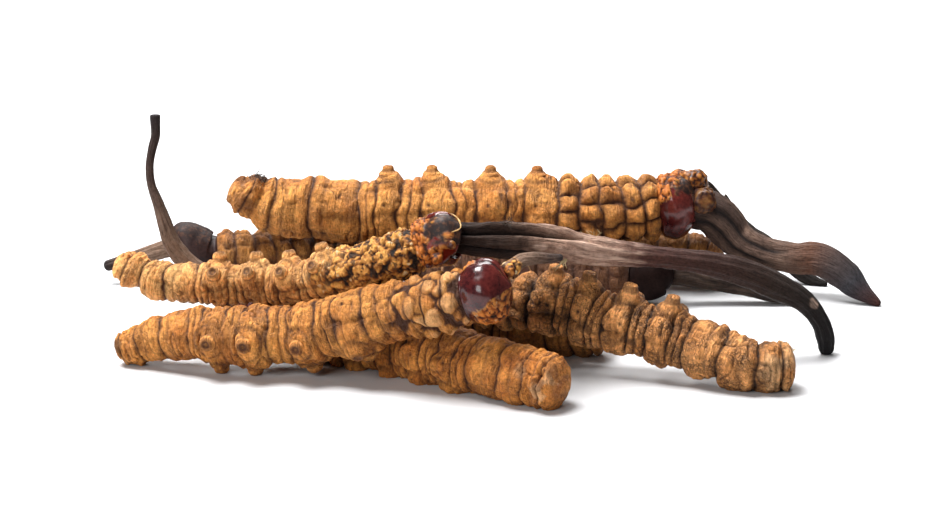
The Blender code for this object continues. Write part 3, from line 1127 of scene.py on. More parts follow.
@dataclass(frozen=True)
class Larva:
    """A mummified grub: its body from neck to tail and its four leg pairs."""

    name: str
    body: tuple[Row, ...]
    legs: tuple[tuple[float, float, float], ...]
    leg_height: float
    relief: Relief = field(default_factory=Relief)
    leg_shape: LegShape = field(default_factory=LegShape)
    waists: tuple[Waist, ...] = ()
    smudges: tuple[Patch, ...] = ()
    pale_patches: tuple[Patch, ...] = ()
    seed: int = 1
    rings: int = 470
    sides: int = 168

    @property
    def path(self) -> Path:
        """The line down the middle of the body."""
        return Path(self.body)

    @property
    def belly(self) -> float:
        """The angle of the middle of the underside, between the leg rows."""
        pairs = np.array(self.legs)
        return float((pairs[1:, 1] + pairs[1:, 2]).mean() / 2.0)

    def segment_ends(self) -> Array:
        """Return where each segment ends, as shares of the length.

        Short rings fill the front up to the first legs, one segment holds each
        leg pair, and four shrinking ones run from the last pair to the tail.

        Returns:
            The ends, from 0 at the neck to past 1 at the tail.
        """
        stations = np.array([pair[0] for pair in self.legs])
        first = stations[0] - 0.045
        thorax = np.linspace(0.0, first, self.relief.thorax_rings + 1)
        between = (stations[:-1] + stations[1:]) / 2.0 + 0.018
        last = min(stations[-1] + 0.065, 0.80)
        tail = last + (1.0 - last) * np.cumsum(TAIL_SEGMENTS)
        return np.concatenate([thorax, between, [last], tail])

    def shares(self) -> Array:
        """Return the shares of the length for the rings, closer at the tail.

        Returns:
            The shares, from 0 at the neck to nearly 1 at the tail.
        """
        start = self.relief.tail_start
        close = self.rings // 12
        even = np.linspace(0.0, start, self.rings - close, endpoint=False)
        slowing = np.sin(np.linspace(0.0, 1.0, close) * 1.54)
        return np.concatenate([even, start + (1.0 - start) * slowing])

    def skin(self) -> Surface:
        """Return the body's surface.

        The radius is the path's, rounded off at the tail, less the depth of
        every crease, plus mounds round the legs, lumps, wrinkles, granules and
        crust.  Creases come from each point's place t within its segment.  The
        crease mask is painted shade: it darkens the creases, folds, cracks and
        the hollows between lumps and grains, and it also darkens the breathing
        pits and the smudges.

        Returns:
            The closed surface of the body.
        """
        look = self.relief
        noise = Noise(self.seed)
        share = self.shares()
        angle = np.linspace(0.0, 360.0, self.sides, endpoint=False)[None, :]
        frames = self.path.frames(share)
        length = self.path.length
        turned = np.radians(angle)
        base = frames.radius[:, None] * np.ones_like(angle)
        over = np.clip((share - look.tail_start) / (1.0 - look.tail_start), 0.0, 1.0)
        closing = np.sqrt(np.clip(1.0 - over**2.4, 0.0, 1.0))[:, None]
        run = share[:, None] * length * np.ones_like(angle)
        grain = np.stack(
            [run, base * closing * np.cos(turned), base * closing * np.sin(turned)], axis=-1,
        )

        sway = noise.layered(grain, 4.0, 2, 1)
        phi = np.abs(turn_between(angle + 5.0 * sway, self.belly))
        warped = share[:, None] + (0.36 * sway + 0.24 * noise.smooth(grain, 1.6, 9)) / length
        groove, inner, bulge = self.grooves(warped, phi, grain, noise)
        offset = look.swell + look.bulge * bulge - look.ring_depth * (groove + 0.5 * inner)
        # painted shade: the crease mask, darkest in the grooves between segments
        crease = np.clip(1.05 * groove**1.1 + 0.75 * inner, 0.0, 1.0)

        for strength, line in self.folds(share, phi, grain, noise):
            offset -= look.fold_depth * strength * line
            # painted shade along the folds
            crease = np.maximum(crease, 0.55 * strength * line)

        lift, ring, pit = self.around_legs(
            share[:, None] * np.ones_like(angle), angle, base, length,
        )
        offset += look.leg_mound * lift - 0.10 * ring - look.pit_depth * pit
        # painted shade in the ring round each leg's mound, lighter on the mound; the breathing pits
        # darken too
        crease = np.maximum(crease * (1.0 - 0.7 * lift), np.maximum(0.6 * ring, 0.95 * pit))

        for waist in self.waists:
            around = bell(turn_between(angle, waist.angle), waist.arc / 2.0)
            offset -= waist.depth * bell(share - waist.share, waist.width)[:, None] * around

        broad_crack, fine_crack = self.cracks(grain, noise)
        offset -= look.crack * (broad_crack + 0.45 * fine_crack)
        # painted shade inside the cracks
        crease = np.maximum(crease, np.maximum(0.6 * broad_crack, 0.42 * fine_crack))

        knotty = ease(look.knot_share + 0.06, look.knot_share - 0.08, share)[:, None]
        knot, knot_tone = noise.grains(grain * np.array([1.0, 0.9, 0.9]), look.knot_size, 110)
        if look.knot_share > 0.0:
            offset += knotty * look.knot * (knot - 0.45)
            # painted shade in the gaps between the knots
            crease = np.maximum(crease * (1.0 - 0.3 * knotty), knotty * ease(0.50, 0.16, knot))
        rough = ease(look.tail_start - 0.06, look.tail_start, share)[:, None]
        offset += look.tail_rough * rough * noise.layered(grain, 1.5, 3, 120)

        drawn = grain * np.array([1.0, 0.22, 0.22])
        wrinkles = noise.layered(drawn, 0.55, 2, 20)
        small, small_tone = noise.grains(grain, look.granule_size, 50)
        lumps = noise.layered(grain, 2.4, 3, 30)
        offset += look.lump * lumps + look.wrinkle * wrinkles
        # painted shade in the hollows between the lumps
        crease = np.maximum(crease, 0.45 * ease(-0.25, -0.95, lumps))
        offset += look.granule * (small - 0.5)
        # painted shade between the granules and in the low lines of the wrinkles
        crease = np.clip(
            crease + 0.22 * ease(0.35, -0.1, small) + 0.25 * ease(-0.25, -0.8, wrinkles), 0.0, 1.0,
        )

        crust = np.zeros_like(base)
        dome = small
        tone = small_tone
        if look.crust_share > 0.0:
            dome, _ = noise.grains(grain, 0.82, 60)
            fine_dome, tone = noise.grains(grain, 0.38, 66)
            edge = noise.layered(grain, 2.0, 2, 70)
            crust = ease(
                look.crust_share + 0.07, look.crust_share - 0.05, share[:, None] + 0.09 * edge,
            )
            offset += crust * (0.36 * dome + 0.13 * fine_dome - 0.18)
            dome = np.clip(0.85 * dome + 0.4 * fine_dome - 0.12, 0.0, 1.0)
            crease *= 1.0 - crust
        spread = share[:, None] + 0.05 * noise.smooth(grain, 1.8, 95)
        pale = ease(
            1.0 - look.pale_tail, 1.03 - look.pale_tail, spread,
        ) * ease(-0.3, 0.3, wrinkles + small - 0.5)
        if look.pale_share > 0.0:
            cover = ease(look.pale_share + 0.05, look.pale_share - 0.04, spread)
            pale = pale + cover * ease(0.40, 0.75, knot) * ease(0.15, 0.55, knot_tone)
            # painted shade in the gaps between the pale lumps and in the ring grooves
            grey = ease(look.pale_share + 0.10, look.pale_share - 0.02, spread)
            crease = np.maximum(
                crease, grey * np.maximum(ease(0.58, 0.26, knot), ease(0.35, 0.8, groove)),
            )
        ragged = 0.5 * noise.layered(grain, 1.0, 3, 97)
        for smudge in self.smudges:
            crease = np.maximum(crease, self.cover(smudge, share, angle, base, ragged))
        for patch in self.pale_patches:
            pale = np.maximum(pale, self.cover(patch, share, angle, base, ragged))

        radius = (base + offset) * closing * (1.0 - 0.14 * ease(0.03, 0.0, share)[:, None])
        points = frames.around(angle, radius)
        keep_off_floor(points)
        masks = {
            "crease": crease, "crust": crust, "dome": dome, "tone": tone, "pale": pale,
            "share": share[:, None],
        }
        return closed_grid(points, masks, grain)

    def folds(
        self, share: Array, phi: Array, grain: Array, noise: Noise,
    ) -> list[tuple[float, Array]]:
        """Return the long folds down the sides, broken up by noise.

        Each is a bell curve of the angle from the belly, weaker in the front
        rings and gone before the tail.

        Args:
            share: Share of the length of each ring.
            phi: Angle in degrees from the middle of the belly, 0 to 180.
            grain: Place on the straightened body in millimetres.
            noise: The larva's noise.

        Returns:
            The strength of each fold, with its cover of each point.
        """
        front = ease(0.34, 0.14, share)[:, None]
        found = []
        for fold, strength in SIDE_FOLDS:
            wander = 9.0 * noise.smooth(grain, 2.2, 12)
            line = bell(phi - fold - wander, 5.5) * (1.0 - 0.7 * front)
            broken = ease(-0.35, 0.45, noise.smooth(grain, 2.8, 14 + int(fold)))
            line *= broken * ease(0.90, 0.78, share)[:, None]
            found.append((strength, line))
        return found

    @staticmethod
    def cracks(grain: Array, noise: Noise) -> tuple[Array, Array]:
        """Return cracks, which run where layered noise crosses zero.

        Args:
            grain: Place on the straightened body in millimetres.
            noise: The larva's noise.

        Returns:
            The cover of the broad cracks and of the fine ones.
        """
        broad = bell(noise.layered(grain * np.array([1.0, 0.5, 0.5]), 1.9, 2, 80), 0.085)
        fine = bell(noise.layered(grain * np.array([1.0, 0.7, 0.7]), 0.85, 2, 84), 0.10)
        broad *= ease(-0.25, 0.35, noise.smooth(grain, 2.6, 88))
        fine *= ease(-0.35, 0.45, noise.smooth(grain, 2.0, 90))
        return broad, fine

    def cover(self, patch: Patch, share: Array, angle: Array, base: Array, ragged: Array) -> Array:
        """Return how far each point is inside a patch of skin.

        Args:
            patch: The patch.
            share: Share of the length of each ring.
            angle: Angle of each side in degrees.
            base: Radius of the body at each point.
            ragged: Raggedness of the patch's edge.

        Returns:
            The cover at each point, from 0 to the patch's strength.
        """
        across = np.radians(turn_between(angle, patch.angle)) * base
        along = (share[:, None] - patch.share) * self.path.length
        return patch.strength * ease(1.1, 0.5, np.hypot(along, across) / patch.reach + ragged)

    def grooves(
        self, warped: Array, phi: Array, grain: Array, noise: Noise,
    ) -> tuple[Array, Array, Array]:
        """Return the main creases, the lesser ones and the bulge between them.

        In the front rings a crease is the fifth power of the distance from the
        ring's middle.  A leg segment is a plate, bounded where the fourth-power
        mean of its two part-distances reaches one, and then two narrow ridges.

        Args:
            warped: Share of the length of each point, a little displaced.
            phi: Angle in degrees from the middle of the belly, 0 to 180.
            grain: Place on the straightened body in millimetres.
            noise: The larva's noise.

        Returns:
            Depth of the main creases, depth of the lesser creases and height
            of the rounded swellings between them, each from 0 to 1.
        """
        look = self.relief
        ends = self.segment_ends()
        count = len(ends) - 1
        index = np.clip(np.searchsorted(ends, warped, side="right") - 1, 0, count - 1)
        t = np.clip((warped - ends[index]) / (ends[index + 1] - ends[index]), 0.0, 1.0)
        from_middle = np.abs(2.0 * t - 1.0)
        thorax = index < look.thorax_rings
        tail = index >= look.thorax_rings + len(self.legs)

        cells = np.stack([index, index * 0, index * 0], axis=-1).astype(float)
        jitter = noise.hashed(cells, 3)
        places = phi / 180.0 * look.block_count / 2.0 + 0.6 * jitter + 0.28 * noise.smooth(
            grain, 1.3, 5,
        )
        block = np.abs(2.0 * (places % 1.0) - 1.0)
        thorax_groove = from_middle**3.2
        thorax_inner = block**3.4 * (1.0 - from_middle**2) * look.block_depth / 0.12

        along = np.abs(t / 0.31 - 1.0)
        upper = np.where(phi < 126.0, np.abs(phi - 96.0) / 30.0, (180.0 - phi) / 54.0)
        side = np.where(phi < 66.0, phi / 66.0, upper)
        edge = (along**4 + side**4) ** 0.25
        plate = ease(0.72, 1.02, edge) ** 1.5
        ridge = np.abs(2.0 * (((t - 0.62) / 0.19) % 1.0) - 1.0) ** 3
        ridges = np.where(t > 0.81, np.maximum(ridge, from_middle**14), ridge)
        leg_groove = np.where(
            t < 0.62, np.maximum(plate * ease(0.5, 1.0, along), from_middle**14), ridges * 0.85,
        )
        leg_inner = np.where(t < 0.62, plate * (1.0 - ease(0.5, 1.0, along)) * 0.5, 0.0)

        tail_groove = from_middle**6
        tail_inner = 0.6 * bell(t - 0.62 - 0.06 * jitter, 0.06)

        groove = np.where(thorax, thorax_groove, np.where(tail, tail_groove, leg_groove))
        inner = np.where(thorax, thorax_inner, np.where(tail, tail_inner, leg_inner))
        round_block = np.clip(1.0 - from_middle**2, 0.0, 1.0) * np.clip(1.0 - block**2, 0.0, 1.0)
        round_block = round_block * look.block_depth / 0.12
        round_plate = np.where(t < 0.62, np.clip(1.0 - edge**2, 0.0, 1.0), 0.0)
        bulge = np.where(
            thorax, round_block, np.where(tail, 0.5 - 0.5 * from_middle**2, round_plate),
        )
        return groove, inner, bulge

    def around_legs(
        self, share: Array, angle: Array, base: Array, length: float,
    ) -> tuple[Array, Array, Array]:
        """Return the mound round each leg, the crease round it, and breathing pits.

        Each is a bell curve of the distance over the skin: to the leg, to a
        circle round it, or to the pit at the side of its segment.

        Args:
            share: Share of the length of each point.
            angle: Angle of each point in degrees.
            base: Radius of the body at each point.
            length: Length of the body in millimetres.

        Returns:
            Mound, circle and pit, each from 0 to 1.
        """
        lift = np.zeros_like(base)
        ring = np.zeros_like(base)
        pit = np.zeros_like(base)
        for station, low, high in self.legs:
            along = (share - station) * length
            for centre in (low, high):
                across = np.radians(turn_between(angle, centre)) * base
                gap = np.hypot(along, across)
                lift = np.maximum(lift, bell(np.maximum(gap - 0.5, 0.0), self.relief.mound_width))
                ring = np.maximum(ring, bell(gap - LEG_RING, 0.22))
            for side in (-1.0, 1.0):
                across = np.radians(turn_between(angle, self.belly + side * PIT_ANGLE)) * base
                pit = np.maximum(pit, bell(np.hypot(along - 0.3, across), 0.24))
        return lift, ring, pit

    def leg_surfaces(self) -> list[Surface]:
        """Return every leg, square to the body at its own angle.

        Returns:
            One surface for each leg.
        """
        noise = Noise(self.seed + 100)
        found = []
        for station, low, high in self.legs:
            frames = self.path.frames(np.array([station]))
            centre, radius, axis = frames.centre[0], frames.radius[0], frames.axis[0]
            for angle in (low, high):
                turned = math.radians(angle)
                outward = np.array([0.0, -math.cos(turned), math.sin(turned)])
                outward = unit(outward - axis * (outward @ axis))
                base = centre + outward * (radius - self.leg_shape.root_depth)
                reach = self.leg_shape.root_depth + self.leg_height
                dark = self.relief.leg_dark
                found.append(self.leg_shape.surface(base, outward, axis, reach, noise, dark))
        for leg in found:
            keep_off_floor(leg.vertices)
        return found

    def build(self, material: Material) -> Object:
        """Make the larva in place of its CAD node and hand it over.

        Args:
            material: The material of the skin.

        Returns:
            The larva's object.
        """
        piece = mesh_object(
            f"{self.name}_larva_skin", [self.skin(), *self.leg_surfaces()], material,
        )
        deliver(piece, "larva_skin", f"{self.name}_larva")
        return piece


# --------------------------------------------------------------------------
# Heads
# --------------------------------------------------------------------------


@dataclass(frozen=True)
class Knob:
    """A rough knob grown onto a head, in millimetres."""

    place: tuple[float, float, float]
    radius: float
    crust: float = 1.0
    rings: int = 48
    sides: int = 60

    def surface(self, noise: Noise) -> Surface:
        """Return the knob: a ball whose radius varies with noise and grains.

        Args:
            noise: The noise of the head that it is on.

        Returns:
            The closed surface of the knob.
        """
        up = np.radians(np.linspace(-KNOB_POLE, KNOB_POLE, self.rings))[:, None]
        about = np.linspace(0.0, 2.0 * np.pi, self.sides, endpoint=False)[None, :]
        flat = [np.cos(up) * np.cos(about), np.cos(up) * np.sin(about)]
        ball = np.stack([*flat, np.broadcast_to(np.sin(up), flat[0].shape)], axis=-1)
        middle = np.array(self.place) - PILE_CENTRE
        spots = middle + self.radius * ball
        dome, _ = noise.grains(spots, 0.62, 10)
        fine_dome, tone = noise.grains(spots, 0.3, 16)
        crusting = self.crust * (0.18 * dome + 0.06 * fine_dome - 0.08) / self.radius
        height = 1.0 + 0.16 * noise.layered(spots, 1.4, 3, 90) + crusting
        points = middle + self.radius * height[..., None] * ball
        keep_off_floor(points)
        masks = {
            "crust": np.full_like(dome, self.crust), "tone": tone,
            "pale": np.full_like(dome, 1.0 - self.crust),
            "dome": np.clip(0.8 * dome + 0.35 * fine_dome - 0.1, 0.0, 1.0),
            "crease": np.zeros_like(dome),
        }
        return closed_grid(points, masks, spots)


@dataclass(frozen=True)
class Head:
    """A hard head capsule between a larva's neck and its stalk's root."""

    name: str
    radius: float
    neck: Path
    root: Path
    nose: tuple[float, float, float] | None = None
    crust: tuple[Patch, ...] = ()
    dark: tuple[Patch, ...] = ()
    knobs: tuple[Knob, ...] = ()
    suture: float = 90.0
    lump: float = 0.18
    seed: int = 5
    rings: int = 110
    sides: int = 120
    gap: float = 0.35
    shoulder_share: float = 0.22
    tuck: float = 0.9
    profile: tuple[float, ...] = (0.84, 0.98, 1.0, 0.86, 0.52)

    def line(self) -> Path:
        """Return the line from the neck to the root, square to both.

        The same five places as the solid head's: its two ends, a point near
        each of them straight on from the neck and the root, and the middle.

        Returns:
            The line, its radius at each place being the head's.
        """
        neck = self.neck.frames(np.array([0.0]))
        start = neck.centre[0] - neck.axis[0] * self.gap
        if self.nose is None:
            root = self.root.frames(np.array([0.0]))
            heading = root.axis[0]
            end = root.centre[0] - heading * self.gap
        else:
            end = np.array(self.nose) - PILE_CENTRE
            heading = unit(end - start)
        reach = self.shoulder_share * float(np.linalg.norm(end - start))
        shoulder = start - neck.axis[0] * reach
        cheek = end - heading * reach
        middles = np.array([start, shoulder, (shoulder + cheek) / 2.0, cheek, end]) + PILE_CENTRE
        radii = self.radius * np.array(self.profile)
        return Path(tuple((*middle, radius) for middle, radius in zip(middles, radii)))

    def spread(self, patches: tuple[Patch, ...], run: Array, angle: Array, noise: Array) -> Array:
        """Return how far each point is inside any of the patches, 0 to 1.

        Args:
            patches: The patches.
            run: Distance of each point along the head in millimetres.
            angle: Angle of each point in degrees.
            noise: Raggedness of the patches' edges, about -1 to 1.

        Returns:
            The cover of the patches at each point.
        """
        cover = np.zeros_like(noise)
        length = self.line().length
        for patch in patches:
            across = np.radians(turn_between(angle, patch.angle)) * self.radius
            gap = np.hypot(run - patch.share * length, across)
            cover = np.maximum(
                cover, patch.strength * ease(1.12, 0.82, gap / patch.reach + 0.35 * noise),
            )
        return cover

    def build(self, material: Material) -> Object:
        """Make the head in place of its CAD node and hand it over.

        The capsule's radius is its path's, rounded to nothing past both ends,
        less a groove along its suture, plus soft lumps and grains of crust.

        Args:
            material: The material of the head.

        Returns:
            The head's object.
        """
        noise = Noise(self.seed)
        line = self.line()
        length = line.length
        tuck = self.tuck / length
        share = np.linspace(-tuck, 1.0 + tuck * 0.6, self.rings)
        angle = np.linspace(0.0, 360.0, self.sides, endpoint=False)[None, :]
        frames = line.frames(share)
        base = frames.radius[:, None] * np.ones_like(angle)
        run = share[:, None] * length * np.ones_like(angle)
        opens = ease(-tuck, -0.1 * tuck, share)
        shuts = ease(1.0 + tuck * 0.6, 1.0 - 0.3 * tuck, share)
        closing = np.maximum(np.sqrt(opens * shuts), 0.03)[:, None]
        grain = frames.around(angle, closing * base)
        ragged = noise.layered(grain, 1.1, 3, 2)
        crust = self.spread(self.crust, run, angle, ragged)
        dark = self.spread(self.dark, run, angle, ragged)
        dome, _ = noise.grains(grain, 0.62, 10)
        fine_dome, tone = noise.grains(grain, 0.3, 16)
        suture = bell(
            turn_between(angle + 4.0 * ragged, self.suture), 5.0,
        ) * ease(0.05, 0.25, share)[:, None]
        offset = self.lump * noise.layered(
            grain, 2.6, 2, 20,
        ) + 0.30 * noise.smooth(grain, 3.6, 24) - 0.16 * suture
        offset += crust * (0.30 * dome + 0.10 * fine_dome - 0.12)
        radius = (base + offset) * closing
        points = frames.around(angle, radius)
        keep_off_floor(points)
        # the crease mask is painted shade along the suture groove
        masks = {
            "crust": crust, "pale": dark * (1.0 - crust), "tone": tone,
            "crease": suture * (1.0 - crust),
            "dome": np.clip(0.8 * dome + 0.35 * fine_dome, 0.0, 1.0),
        }
        knobs = [knob.surface(noise) for knob in self.knobs]
        piece = mesh_object(
            f"{self.name}_head_capsule", [closed_grid(points, masks, grain), *knobs], material,
        )
        deliver(piece, "head_capsule", f"{self.name}_head")
        return piece


@dataclass(frozen=True)
class Rim:
    """The thin dry edge of a membrane that curls round part of a head."""

    name: str
    share: float
    start: float
    end: float
    thickness: float = 0.10
    lean: float = 0.6
    points: int = 60
    sides: int = 12

    def build(self, head: Head, material: Material) -> Object:
        """Make the rim as a thin tube on an arc just outside the head.

        The arc's angle runs evenly from start to end, its radius is the head's
        and enough more to clear the lumps, and it leans along the head by a sine.

        Args:
            head: The head that it lies on.
            material: The material of the rim.

        Returns:
            The rim's object.
        """
        t = np.linspace(0.0, 1.0, self.points)
        line = head.line()
        shares = self.share + self.lean / line.length * np.sin(np.pi * t)
        frames = line.frames(shares)
        turned = np.radians(self.start + (self.end - self.start) * t)[:, None]
        spoke = np.cos(turned) * frames.forward + np.sin(turned) * frames.upward
        arc = frames.centre + (frames.radius + 0.36)[:, None] * spoke
        thinning = np.sqrt(np.sin(np.pi * np.clip(t, 0.02, 0.98)))
        radii = self.thickness * thinning * (1.0 + 0.25 * np.sin(23.0 * t))
        piece = mesh_object(self.name, [swept(arc, radii, self.sides)], material)
        deliver(piece, "head_capsule")
        return piece


# --------------------------------------------------------------------------
# Stalks
# --------------------------------------------------------------------------


@dataclass(frozen=True)
class Groove:
    """A groove along a stalk, with its place, size and run in shares."""

    angle: float
    width: float
    depth: float
    start: float = 0.0
    end: float = 1.0
    twist: float = 0.0


@dataclass(frozen=True)
class Stalk:
    """A dried stalk: a fibrous tube with long grooves, from root to tip."""

    name: str
    rows: tuple[Row, ...]
    kind: str = "stalk"
    grooves: tuple[Groove, ...] = ()
    ridge: float = 0.07
    ridge_count: int = 9
    rough: float = 0.06
    crust_share: float = 0.0
    worn: tuple[float, float] = (0.1, 0.9)
    wear: float = 0.5
    spots: tuple[Patch, ...] = ()
    knobs: float = 0.0
    knob_share: float = 0.7
    flat_tip: bool = False
    tuck: float = 1.0
    seed: int = 9
    tip_rings: int = 14
    rings: int = 260
    sides: int = 84

    def build(self, material: Material) -> Object:
        """Make the stalk in place of its CAD node and hand it over.

        The radius is the path's, less a bell-shaped valley for each groove,
        plus a sine of small ridges round it that slowly turn, and noise drawn
        out along the fibres.  The fertile part near the tip is finely knobbed.

        Args:
            material: The material of the stalk.

        Returns:
            The stalk's object.
        """
        noise = Noise(self.seed)
        path = Path(self.rows)
        length = path.length
        close = self.tip_rings
        end = 1.0 - 0.9 * self.rows[-1][3] / length
        even = np.linspace(-self.tuck / length, end, self.rings - close, endpoint=False)
        slowing = np.sin(np.linspace(0.0, 1.0, close) * 1.5)
        share = np.concatenate([even, end + (1.0 - end) * slowing])
        angle = np.linspace(0.0, 360.0, self.sides, endpoint=False)[None, :]
        frames = path.frames(share)
        turned = np.radians(angle)
        base = frames.radius[:, None] * np.ones_like(angle)
        run = share[:, None] * length * np.ones_like(angle)
        grain = np.stack([run, base * np.cos(turned), base * np.sin(turned)], axis=-1)
        drawn = grain * np.array([0.22, 1.0, 1.0])
        sway = noise.smooth(grain, 5.0, 1)

        offset = np.zeros_like(base)
        crease = np.zeros_like(base)
        for groove in self.grooves:
            run_in = ease(groove.start - 0.04, groove.start + 0.03, share)
            run_in = run_in * ease(groove.end + 0.05, groove.end - 0.06, share)
            middle = groove.angle + groove.twist * share[:, None] + 8.0 * sway
            valley = bell(turn_between(angle - middle, 0.0), groove.width) * run_in[:, None]
            offset -= groove.depth * valley
            # painted shade: the crease mask darkens the bottom of each groove
            crease = np.maximum(crease, valley**1.5 * 0.95)
        phase = turned * self.ridge_count + 2.5 * sway + 4.0 * share[:, None]
        ridges = np.cos(phase)
        offset += self.ridge * ridges * np.minimum(base, 1.5) / 1.5
        offset += self.rough * noise.layered(drawn, 0.8, 3, 10) * np.minimum(base, 1.5)
        offset += 0.05 * noise.layered(grain, 1.6, 3, 14) * base

        fertile = ease(self.knob_share, self.knob_share + 0.05, share)[:, None]
        knob, _ = noise.grains(grain, 0.34, 30)
        offset += self.knobs * fertile * (knob - 0.4)

        dome, tone = noise.grains(grain, 0.5, 40)
        edge = noise.layered(grain, 1.4, 2, 44)
        crust = np.zeros_like(base)
        if self.crust_share > 0.0:
            crust = ease(
                self.crust_share + 0.05, self.crust_share - 0.05, share[:, None] + 0.06 * edge,
            )
            crust = crust * ease(-0.35, 0.2, edge)
            offset += crust * 0.16 * (dome - 0.3)
        worn_from, worn_to = self.worn
        ramp = ease(worn_from - 0.06, worn_from + 0.06, share)
        ramp = ramp * ease(worn_to + 0.06, worn_to - 0.06, share)
        wear = self.wear * ramp[:, None] * ease(-0.4, 0.7, ridges * 0.5 + edge) * (1.0 - crease)
        for spot in self.spots:
            across = np.radians(turn_between(angle, spot.angle)) * base
            gap = np.hypot((share[:, None] - spot.share) * length, across) / spot.reach
            wear = np.maximum(wear, spot.strength * ease(1.1, 0.6, gap + 0.3 * edge))

        over = np.clip((share - end) / (1.0 - end), 0.0, 1.0)
        closing = np.sqrt(np.clip(1.0 - over ** (8.0 if self.flat_tip else 2.2), 0.0, 1.0))
        radius = np.maximum(base + offset, 0.25 * base) * closing[:, None]
        points = frames.around(angle, radius)
        keep_off_floor(points)
        masks = {
            "crease": crease, "wear": wear, "share": np.clip(share, 0.0, 1.0)[:, None],
            "crust": crust, "dome": dome, "tone": tone,
        }
        piece = mesh_object(
            f"{self.name}_{self.kind}_fibre", [closed_grid(points, masks, grain)], material,
        )
        deliver(piece, "stalk_fibre", f"{self.name}_{self.kind}")
        return piece


# --------------------------------------------------------------------------
# Hairs, threads and shreds
# --------------------------------------------------------------------------


@dataclass(frozen=True)
class Tuft:
    """A tuft of short bent hairs standing out of one place."""

    name: str
    place: tuple[float, float, float]
    heading: tuple[float, float, float]
    count: int = 24
    length: float = 1.2
    thickness: float = 0.035
    spread: float = 0.7
    footprint: float = 0.5
    seed: int = 3
    points: int = 9
    sides: int = 5
    curl: float = 0.35

    def build(self, material: Material) -> Object:
        """Make every hair as a thin tapering tube that bends aside.

        Along a hair, its place is root + t length heading + t squared bend.

        Args:
            material: The material of the hairs.

        Returns:
            The tuft's object.
        """
        random = np.random.default_rng(self.seed)
        t = np.linspace(0.0, 1.0, self.points)[:, None]
        root = np.array(self.place) - PILE_CENTRE
        hairs = []
        for _ in range(self.count):
            start = root + random.normal(0.0, self.footprint, 3) * 0.6
            way = unit(np.array(self.heading) + random.normal(0.0, self.spread, 3))
            bend = random.normal(0.0, self.curl, 3) * self.length
            long = self.length * random.uniform(0.5, 1.0)
            line = start + t * long * way + t**2 * bend
            line[:, 2] = np.maximum(line[:, 2], 2.0 * FLOOR_CLEARANCE)
            hairs.append(swept(line, self.thickness * (1.0 - 0.7 * t[:, 0]), self.sides))
        piece = mesh_object(self.name, hairs, material)
        deliver(piece, "stalk_fibre")
        return piece


# --------------------------------------------------------------------------
# The pile
# --------------------------------------------------------------------------


def straight_legs(
    belly: float, spread: float, stations: tuple[float, ...] = (0.31, 0.43, 0.545, 0.66),
) -> tuple[tuple[float, float, float], ...]:
    """Return four pairs of legs, spread to both sides of one belly angle."""
    return tuple((station, belly - spread, belly + spread) for station in stations)


FRONT_LEFT = Larva(
    name="front_left",
    body=(
        (0.2, -13.9, 10.7, 2.9), (-2.8, -12.8, 9.7, 2.95), (-7.0, -11.0, 8.4, 2.95),
        (-12.3, -9.0, 6.5, 2.95), (-17.7, -7.3, 4.9, 2.95), (-23.1, -6.5, 4.5, 2.9),
        (-28.5, -5.0, 4.1, 2.6), (-33.0, -3.5, 3.0, 2.15), (-37.8, -2.0, 1.6, 1.75),
    ),
    legs=((0.32, -90.0, -48.0), (0.468, -92.0, -8.0), (0.61, -89.0, -3.0), (0.70, -87.0, -1.0)),
    leg_height=1.6,
    relief=Relief(
        thorax_rings=6, block_depth=0.03, block_count=9, pale_share=0.12, lump=0.28,
        tail_rough=0.35, wrinkle=0.15,
        crack=0.18, leg_mound=0.95, mound_width=1.65, swell=0.12, pale_tail=0.035, knot=0.75,
        knot_size=1.75,
        knot_share=0.24, ring_depth=0.26,
    ),
    leg_shape=LegShape(base_radius=1.75, tip_radius=0.56, paleness=0.2, hollow=0.85, rings=2.5),
    waists=(Waist(0.955, 0.012, 0.25), Waist(0.985, 0.03, 0.35, angle=100.0, arc=120.0)),
    smudges=(
        Patch(0.985, 20.0, 1.0, 0.8), Patch(0.5, 60.0, 1.3, 0.35), Patch(0.62, 80.0, 1.6, 0.35),
    ),
    seed=11,
)

UPPER_LEFT = Larva(
    name="upper_left",
    body=(
        (-4.8, -7.3, 14.1, 2.25), (-7.0, -6.8, 13.1, 2.35), (-10.3, -5.5, 11.8, 2.35),
        (-14.1, -3.6, 10.1, 2.35), (-18.5, -1.8, 8.7, 2.2), (-23.4, 0.0, 8.1, 2.15),
        (-28.4, 1.2, 7.8, 2.15), (-32.9, 2.4, 7.9, 1.95), (-35.7, 3.2, 8.7, 1.8),
        (-38.3, 4.0, 10.0, 1.6),
    ),
    legs=straight_legs(66.0, 28.0),
    leg_height=1.5,
    relief=Relief(
        ring_depth=0.26, swell=0.10, crust_share=0.25, lump=0.2, wrinkle=0.13, tail_rough=0.42,
        leg_mound=0.65, crack=0.13,
    ),
    waists=(Waist(0.91, 0.018, 0.40), Waist(0.97, 0.03, 0.5, angle=20.0, arc=60.0)),
    leg_shape=LegShape(base_radius=1.35, tip_radius=0.50, rings=2.5, paleness=0.05, hollow=0.7),
    seed=12,
)

